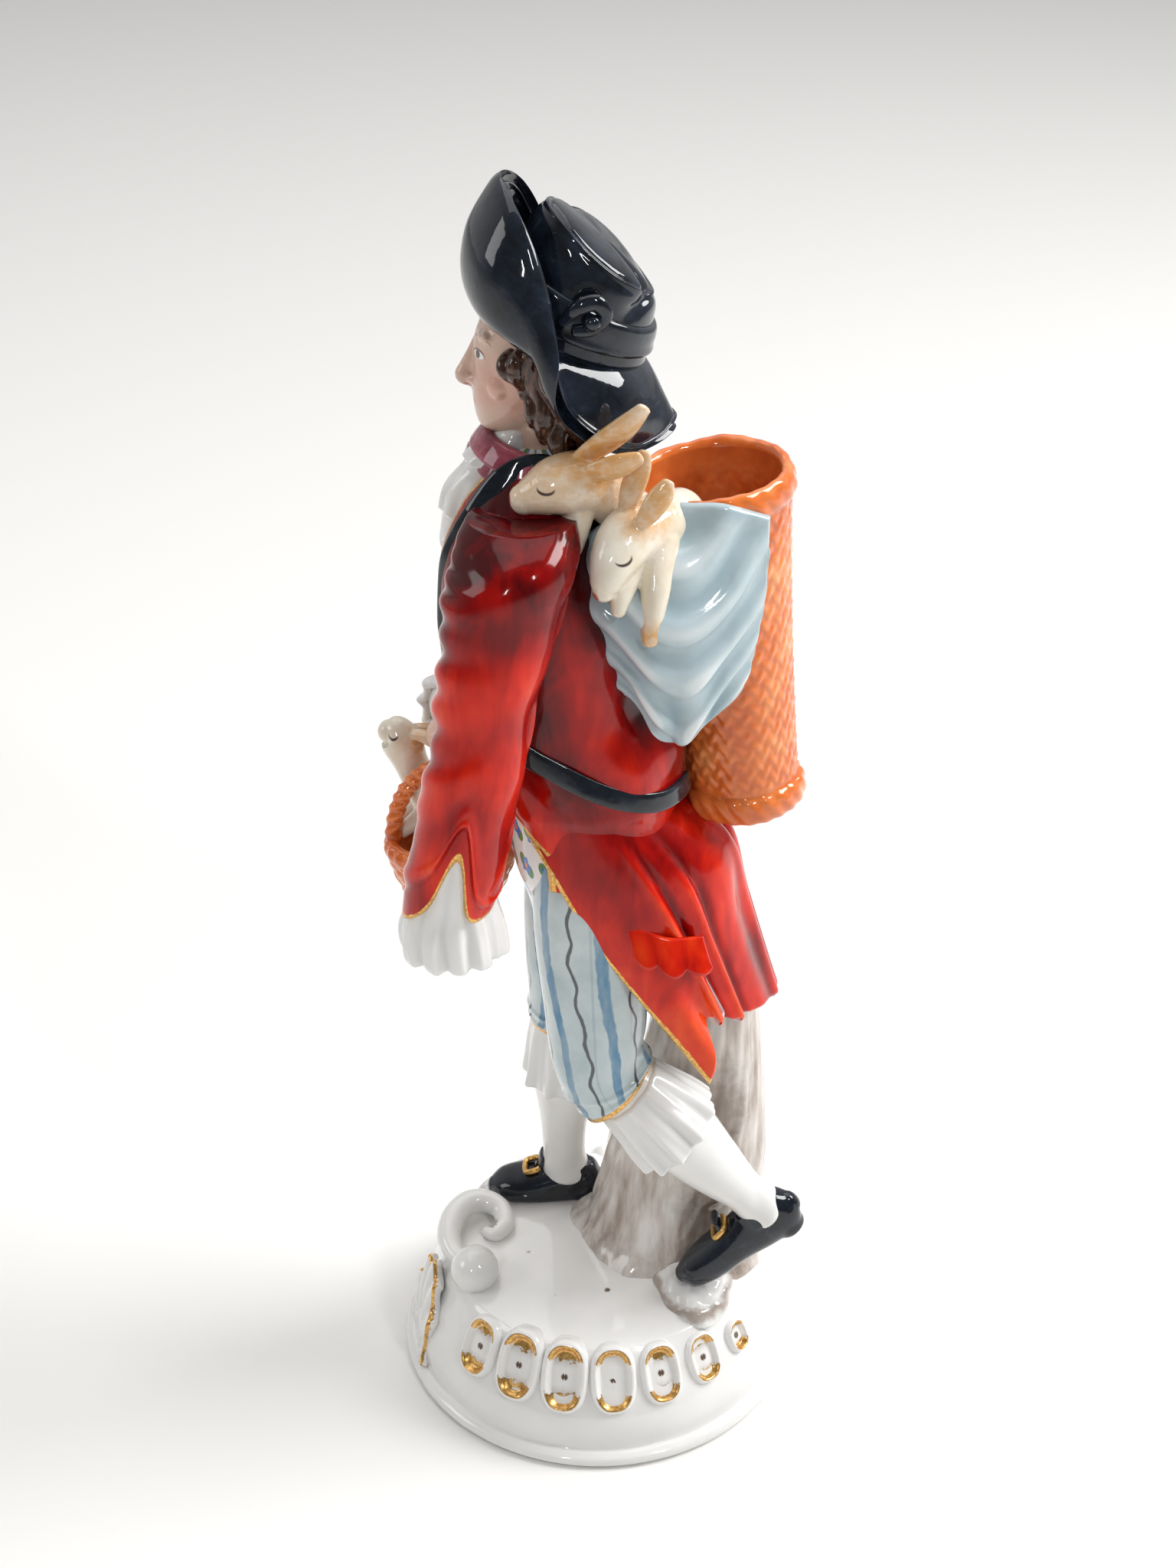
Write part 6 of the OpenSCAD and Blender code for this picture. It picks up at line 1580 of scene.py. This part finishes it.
def cloth_glaze():
    e = Enamel("pale blue cloth glaze", roughness=0.09, coat=0.3)
    cloud = e.noise(6, detail=3.0)
    colour = e.shades(cloud, (0.3, (0.4, 0.5, 0.53)), (0.65, (0.52, 0.61, 0.64)))
    # Fold hollows are darkened, pooled glaze plus painted shade, and fold crests lightened, thin glaze plus painted
    # highlight.
    colour = e.blend(e.calc("MULTIPLY", e.mark("pool"), 0.85, clamp=True), colour, (0.25, 0.35, 0.4))
    colour = e.blend(e.map(e.mark("pool"), 0.1, -0.15), colour, (0.66, 0.71, 0.72))
    return e.done(colour, bump=0.03)


piece("swagged_cloth", [closed_sheet(cloth, 2.2, marks={"pool": 0.35 - 0.55 * cloth_fold}, side=1)], cloth_glaze(),
      ["basket_cloth"])

# %% [markdown]
# Rabbits are modelled quickly by hand, and these are made quickly too: a few balls strung along the back make the
# body and head, ropes make ears and legs, and one skin goes over them.
# Brushed ochre tints the ears, backs and paws; closed eyes, nose and mouth are dark
# strokes. The paint spots are placed from the same points as the modelling.

# %% Rabbits
OCHRE = (0.66, 0.33, 0.09)


def rabbit_glaze(name, tints, strokes, noses):
    """Tints: ochre patches. Strokes: dark arcs (centre, radii, shift). Noses: small red spots."""
    e = Enamel(name, roughness=0.11, coat=0.4)
    colour = e.shades(e.noise(5, detail=2.0), (0.3, (0.74, 0.65, 0.5)), (0.7, (0.84, 0.79, 0.69)))
    fur = e.noise(1.1, stretch=(1, 2.5, 1.4), detail=4.0, warp=0.7)
    blur = e.map(e.noise(2.2, detail=3.0), 0, 1, -0.35, 0.35)
    for centre, radii, strength in tints:
        patch = e.calc("MULTIPLY", e.spot(centre, radii, soft=0.6, wobble=blur), e.map(fur, 0.3, 0.6, 0.55, 1.0))
        colour = e.blend(e.calc("MULTIPLY", patch, strength), colour, OCHRE)
    for centre, radii, shift in strokes:
        whole = e.spot(centre, radii, soft=0.12)
        cut = e.spot(np.asarray(centre) + shift, np.asarray(radii) * 1.05, soft=0.12)
        arc = e.calc("MULTIPLY", whole, e.calc("SUBTRACT", 1.0, cut))
        colour = e.blend(arc, colour, (0.07, 0.04, 0.03))
    for centre, radius in noses:
        colour = e.blend(e.spot(centre, (radius,) * 3, soft=0.3), colour, (0.5, 0.1, 0.07))
    return e.done(colour, bump=0.05, ripple=1.0)


def strung(points, place):
    """A rope through points with radii, as [x, y, z, radius]."""
    p = np.array(points, float)
    return closed_tube(rope(place(p[:, :3]), p[:, 3], up=(0.9, 0.1, 0.4), rings=16 * len(p), sides=40), dome=0.9)


def ear(points, girth, place, up):
    """A flattened rope through four points, narrow at both ends."""
    r = np.array([0.55, 1.0, 1.0, 0.6]) * girth
    return closed_tube(rope(place(points), r, up=up, flat=0.5, rings=40, sides=28), dome=0.9)


def tinted(place, *patches):
    """Ochre patches as (centre, radii, strength), with each centre put in its place."""
    return [(place(centre), radii, strength) for centre, radii, strength in patches]


upper = [strung([[10, -13, -3, 4.5], [12.5, -17.5, 2.3, 4.6], [14.4, -21.2, 5.2, 5.1], [15.8, -25.4, 5.2, 4.9],
                 [16.6, -28.6, 4.2, 3.7], [17, -30.8, 3.4, 2.6]], from_rim),
         ear([[14.6, -23, 8.6], [16.8, -18.8, 12.4], [18.4, -14.8, 16.2], [19, -11.8, 19.6]], 2.3, from_rim,
             (1, 0.2, -0.3)),
         ear([[17.2, -22.6, 7.4], [19.2, -18.6, 9.2], [20.2, -15, 10.8], [20.4, -12.4, 12]], 2.2, from_rim,
             (1, 0.2, -0.2)),
         strung([[15.6, -21.5, 3, 2.9], [17.2, -23.3, -4.5, 2.2], [17.9, -24.6, -8, 1.7]], from_rim),
         strung([[12, -22.5, 1, 2.4], [13, -25.4, -3.6, 1.9], [13.4, -26.6, -6.4, 1.5]], from_rim)]
lower = [strung([[9, -5.5, -3, 4.6], [14, -9.5, -2.5, 5.2], [19, -13.8, -2.2, 4.9], [22.4, -16.2, -4.6, 4.1],
                 [24.3, -17.6, -7.8, 2.8], [24.8, -18, -9.2, 1.9]], from_rim),
         ear([[19, -14.8, 1.4], [18.4, -13.6, 5.4], [17.6, -12.3, 9], [17.2, -11.5, 11.4]], 2.0, from_rim,
             (1, -0.4, 0.2)),
         ear([[22, -12.6, 0.4], [22, -10.4, 3.8], [21.6, -8.7, 6.4], [21.4, -7.8, 8.2]], 1.9, from_rim, (1, 0, 0.2)),
         strung([[17.4, -9, -4, 3.4], [22, -9.6, -10, 2.5], [23.6, -10.2, -15, 1.9], [24, -10.4, -18.2, 1.5]],
                from_rim),
         strung([[20, -13, -6, 2.4], [23, -15, -10.5, 1.9], [24, -15.6, -13, 1.3]], from_rim)]
up_eye, low_eye = from_rim([20.2, -27.2, 6.4]), from_rim([25.8, -14.8, -3.2])
upper_tints = tinted(from_rim, ([17.5, -16, 14.5], (4.5, 7.5, 8), 0.9), ([19.4, -16.5, 10], (3, 6, 4), 0.85),
                     ([13, -19, 6], (5, 5, 4), 0.5), ([17.8, -24.2, -7.2], (2.6, 2.6, 2.8), 0.9),
                     ([15.5, -23, 9.5], (4, 3, 2.5), 0.6), ([16.5, -27, 6.5], (5.5, 8, 5), 0.62),
                     ([13, -17, 4], (6, 7, 5), 0.5))
upper_paint = rabbit_glaze("upper rabbit glaze", upper_tints, [(up_eye, (1.6, 1.5, 1.0), np.array([0, 0, 0.55]))],
                           [(from_rim([17.4, -33.2, 3.6]), 0.9)])
lower_tints = tinted(from_rim, ([17.6, -12.6, 8.4], (3, 4, 5.5), 0.8), ([21.8, -9, 5.4], (3, 3.4, 4), 0.9),
                     ([18, -10.5, 1.5], (6, 5, 4), 0.6), ([24, -10.3, -17.6], (2.8, 2.8, 3), 0.95),
                     ([22.5, -12, 1.4], (3.4, 3, 2.2), 0.5))
lower_paint = rabbit_glaze("lower rabbit glaze", lower_tints,
                           [(low_eye, (1.5, 1.5, 1.05), np.array([0, -0.3, 0.55]))],
                           [(from_rim([25.6, -19.2, -9.6]), 0.8)])
piece("upper_hanging_rabbit", upper, upper_paint, ["upper_rabbit"], melt=0.25, soften=5)
piece("lower_hanging_rabbit", lower, lower_paint, ["lower_rabbit"], melt=0.25, soften=5)

# %% [markdown]
# The small oval basket hangs in front of the right hip. It has the same weave as the
# tall one, made by the same function, and a rounded border.

# %% Hand basket
HAND_BASKET = placed([-6, -27.2, 82.0])
BOWL_W, BOWL_L, BOWL_H = 18, 24, 11
rows_n, cols_n = 110, 300
t = np.linspace(0, 1, rows_n)[:, None]
way = (np.arange(cols_n) / cols_n)[None, :]
high = t * BOWL_H
share = 0.74 + 0.26 * np.sin(math.pi / 2 * t)
relief = 0.6 * weave(way, high / 1.8, 30) * ramp(high, 0.8, 1.4) * ramp(high, BOWL_H - 1.8, BOWL_H - 2.6)
border = (0.5 * np.sqrt(np.clip(1 - ((high - BOWL_H + 1.1) / 1.3) ** 2, 0, 1))
          + 0.15 * np.sin(TURN * 26 * way) * ramp(high, BOWL_H - 2, BOWL_H))
a = TURN * way


def bowl(inset, low):
    """Wall of the bowl; only the outer one, with no inset, carries the weave and the border."""
    r = inset + (0.32 * relief + border) * (inset == 0)
    return np.stack([(BOWL_W / 2 * share + r) * np.cos(a), (BOWL_L / 2 * share + r) * np.sin(a),
                     low + high * (BOWL_H - low) / BOWL_H + 0 * a], -1)


outer_grid, inner_grid = bowl(0, 0), bowl(-BASKET_WALL, 2.0)[::-1]
lip_mid, lip_half = (outer_grid[-1] + inner_grid[0]) / 2, (outer_grid[-1] - inner_grid[0]) / 2
lip_grid = lip_mid + lip_half * np.cos(lip_angle)[..., None] + np.array([0, 0, 1.1]) * np.sin(lip_angle)[..., None]
whole = np.concatenate([outer_grid, lip_grid, inner_grid]) + HAND_BASKET
# As on the tall basket, the hollow mark darkens the weave's hollows: pooled glaze plus painted shade.
hollow = np.concatenate([0.45 - 0.7 * relief, np.full((LIP_ROWS, cols_n), 0.1), (0.5 - 0.4 * relief)[::-1]])
outside = np.concatenate([np.ones(rows_n + LIP_ROWS), np.zeros(rows_n)])[:, None]
piece("woven_hand_basket", [closed_tube(whole, {"hollow": hollow, "outside": outside}, dome=0.001, steps=2)], wicker,
      ["hand_basket"])

# %% [markdown]
# The hooped handle is twisted out of two strands: a rope whose surface rises and sinks
# along a screw line that runs twice round it and many times along it.

# %% Twisted handle
HOOP_RISE, HANDLE_R, TWISTS = 19, 1.5, 22
steps = np.linspace(0, 1, 25)
hoop = np.stack([0 * steps, -(BOWL_L / 2 - 1.2) * np.cos(math.pi * steps),
                 BOWL_H - 3 + HOOP_RISE * np.sin(math.pi * steps) ** 0.8], -1)
handle = rope(hoop + HAND_BASKET, HANDLE_R, up=(1, 0, 0), rings=200, sides=28)
t, a = lay_of(handle)
twist = np.sin(TURN * (2 * a + TWISTS * t))
# The twist's grooves are darkened by the wicker glaze: pooled glaze plus painted shade.
twisted = closed_tube(swell(handle, 0.16 * twist), {"hollow": 0.4 - 0.4 * twist, "outside": 1.0})
piece("twisted_handle", [twisted], wicker, ["basket_handle"])

# %% [markdown]
# The third rabbit sits up in the basket, held by the hand. It is strung together like
# the other two, and its points are measured from the basket.

# %% Sitting rabbit
def in_hand(points):
    return np.asarray(points, float) * K + HAND_BASKET


sitting = [strung([[-1.6, 2, 3, 4.5], [-3, 0, 10, 4.3], [-4.6, -4, 17.5, 3.6], [-5.4, -7, 24, 3.2],
                   [-5.8, -8.6, 28.2, 3.8], [-5.8, -10, 30.6, 3.4], [-5.8, -11.2, 31, 2.2]], in_hand),
           ear([[-4.4, -7.6, 31.4], [-3.8, -4, 30.8], [-3.6, -1, 28.6], [-3.6, 0.4, 26.6]], 1.7, in_hand,
               (0.4, 0.5, 1)),
           ear([[-7.2, -7.6, 31.2], [-8, -4, 30.4], [-8.4, -1, 28.2], [-8.6, 0.4, 26.4]], 1.6, in_hand,
               (-0.4, 0.5, 1)),
           strung([[-2.6, -4, 16, 2], [-1.6, -7.6, 13.4, 1.6], [-1.4, -9, 12, 1.2]], in_hand),
           strung([[-6.4, -5, 16, 2], [-6.6, -8.4, 13.4, 1.6], [-6.4, -9.6, 12, 1.2]], in_hand)]
sitting_tints = tinted(in_hand, ([-3.8, -3, 29.6], (2, 6, 3), 0.85), ([-8, -3, 29.6], (2, 6, 3), 0.85),
                       ([-4, -1, 12], (3, 3.5, 8), 0.5))
sitting_eyes = [(in_hand([x, -10.4, 31.6]), (1, 1.2, 0.9), np.array([0, 0, 0.5])) for x in (-2.6, -9)]
sitting_paint = rabbit_glaze("sitting rabbit glaze", sitting_tints, sitting_eyes,
                             [(in_hand([-5.8, -13.2, 31.2]), 0.7)])
piece("sitting_rabbit", sitting, sitting_paint, ["hand_rabbit"], melt=0.25, soften=5)
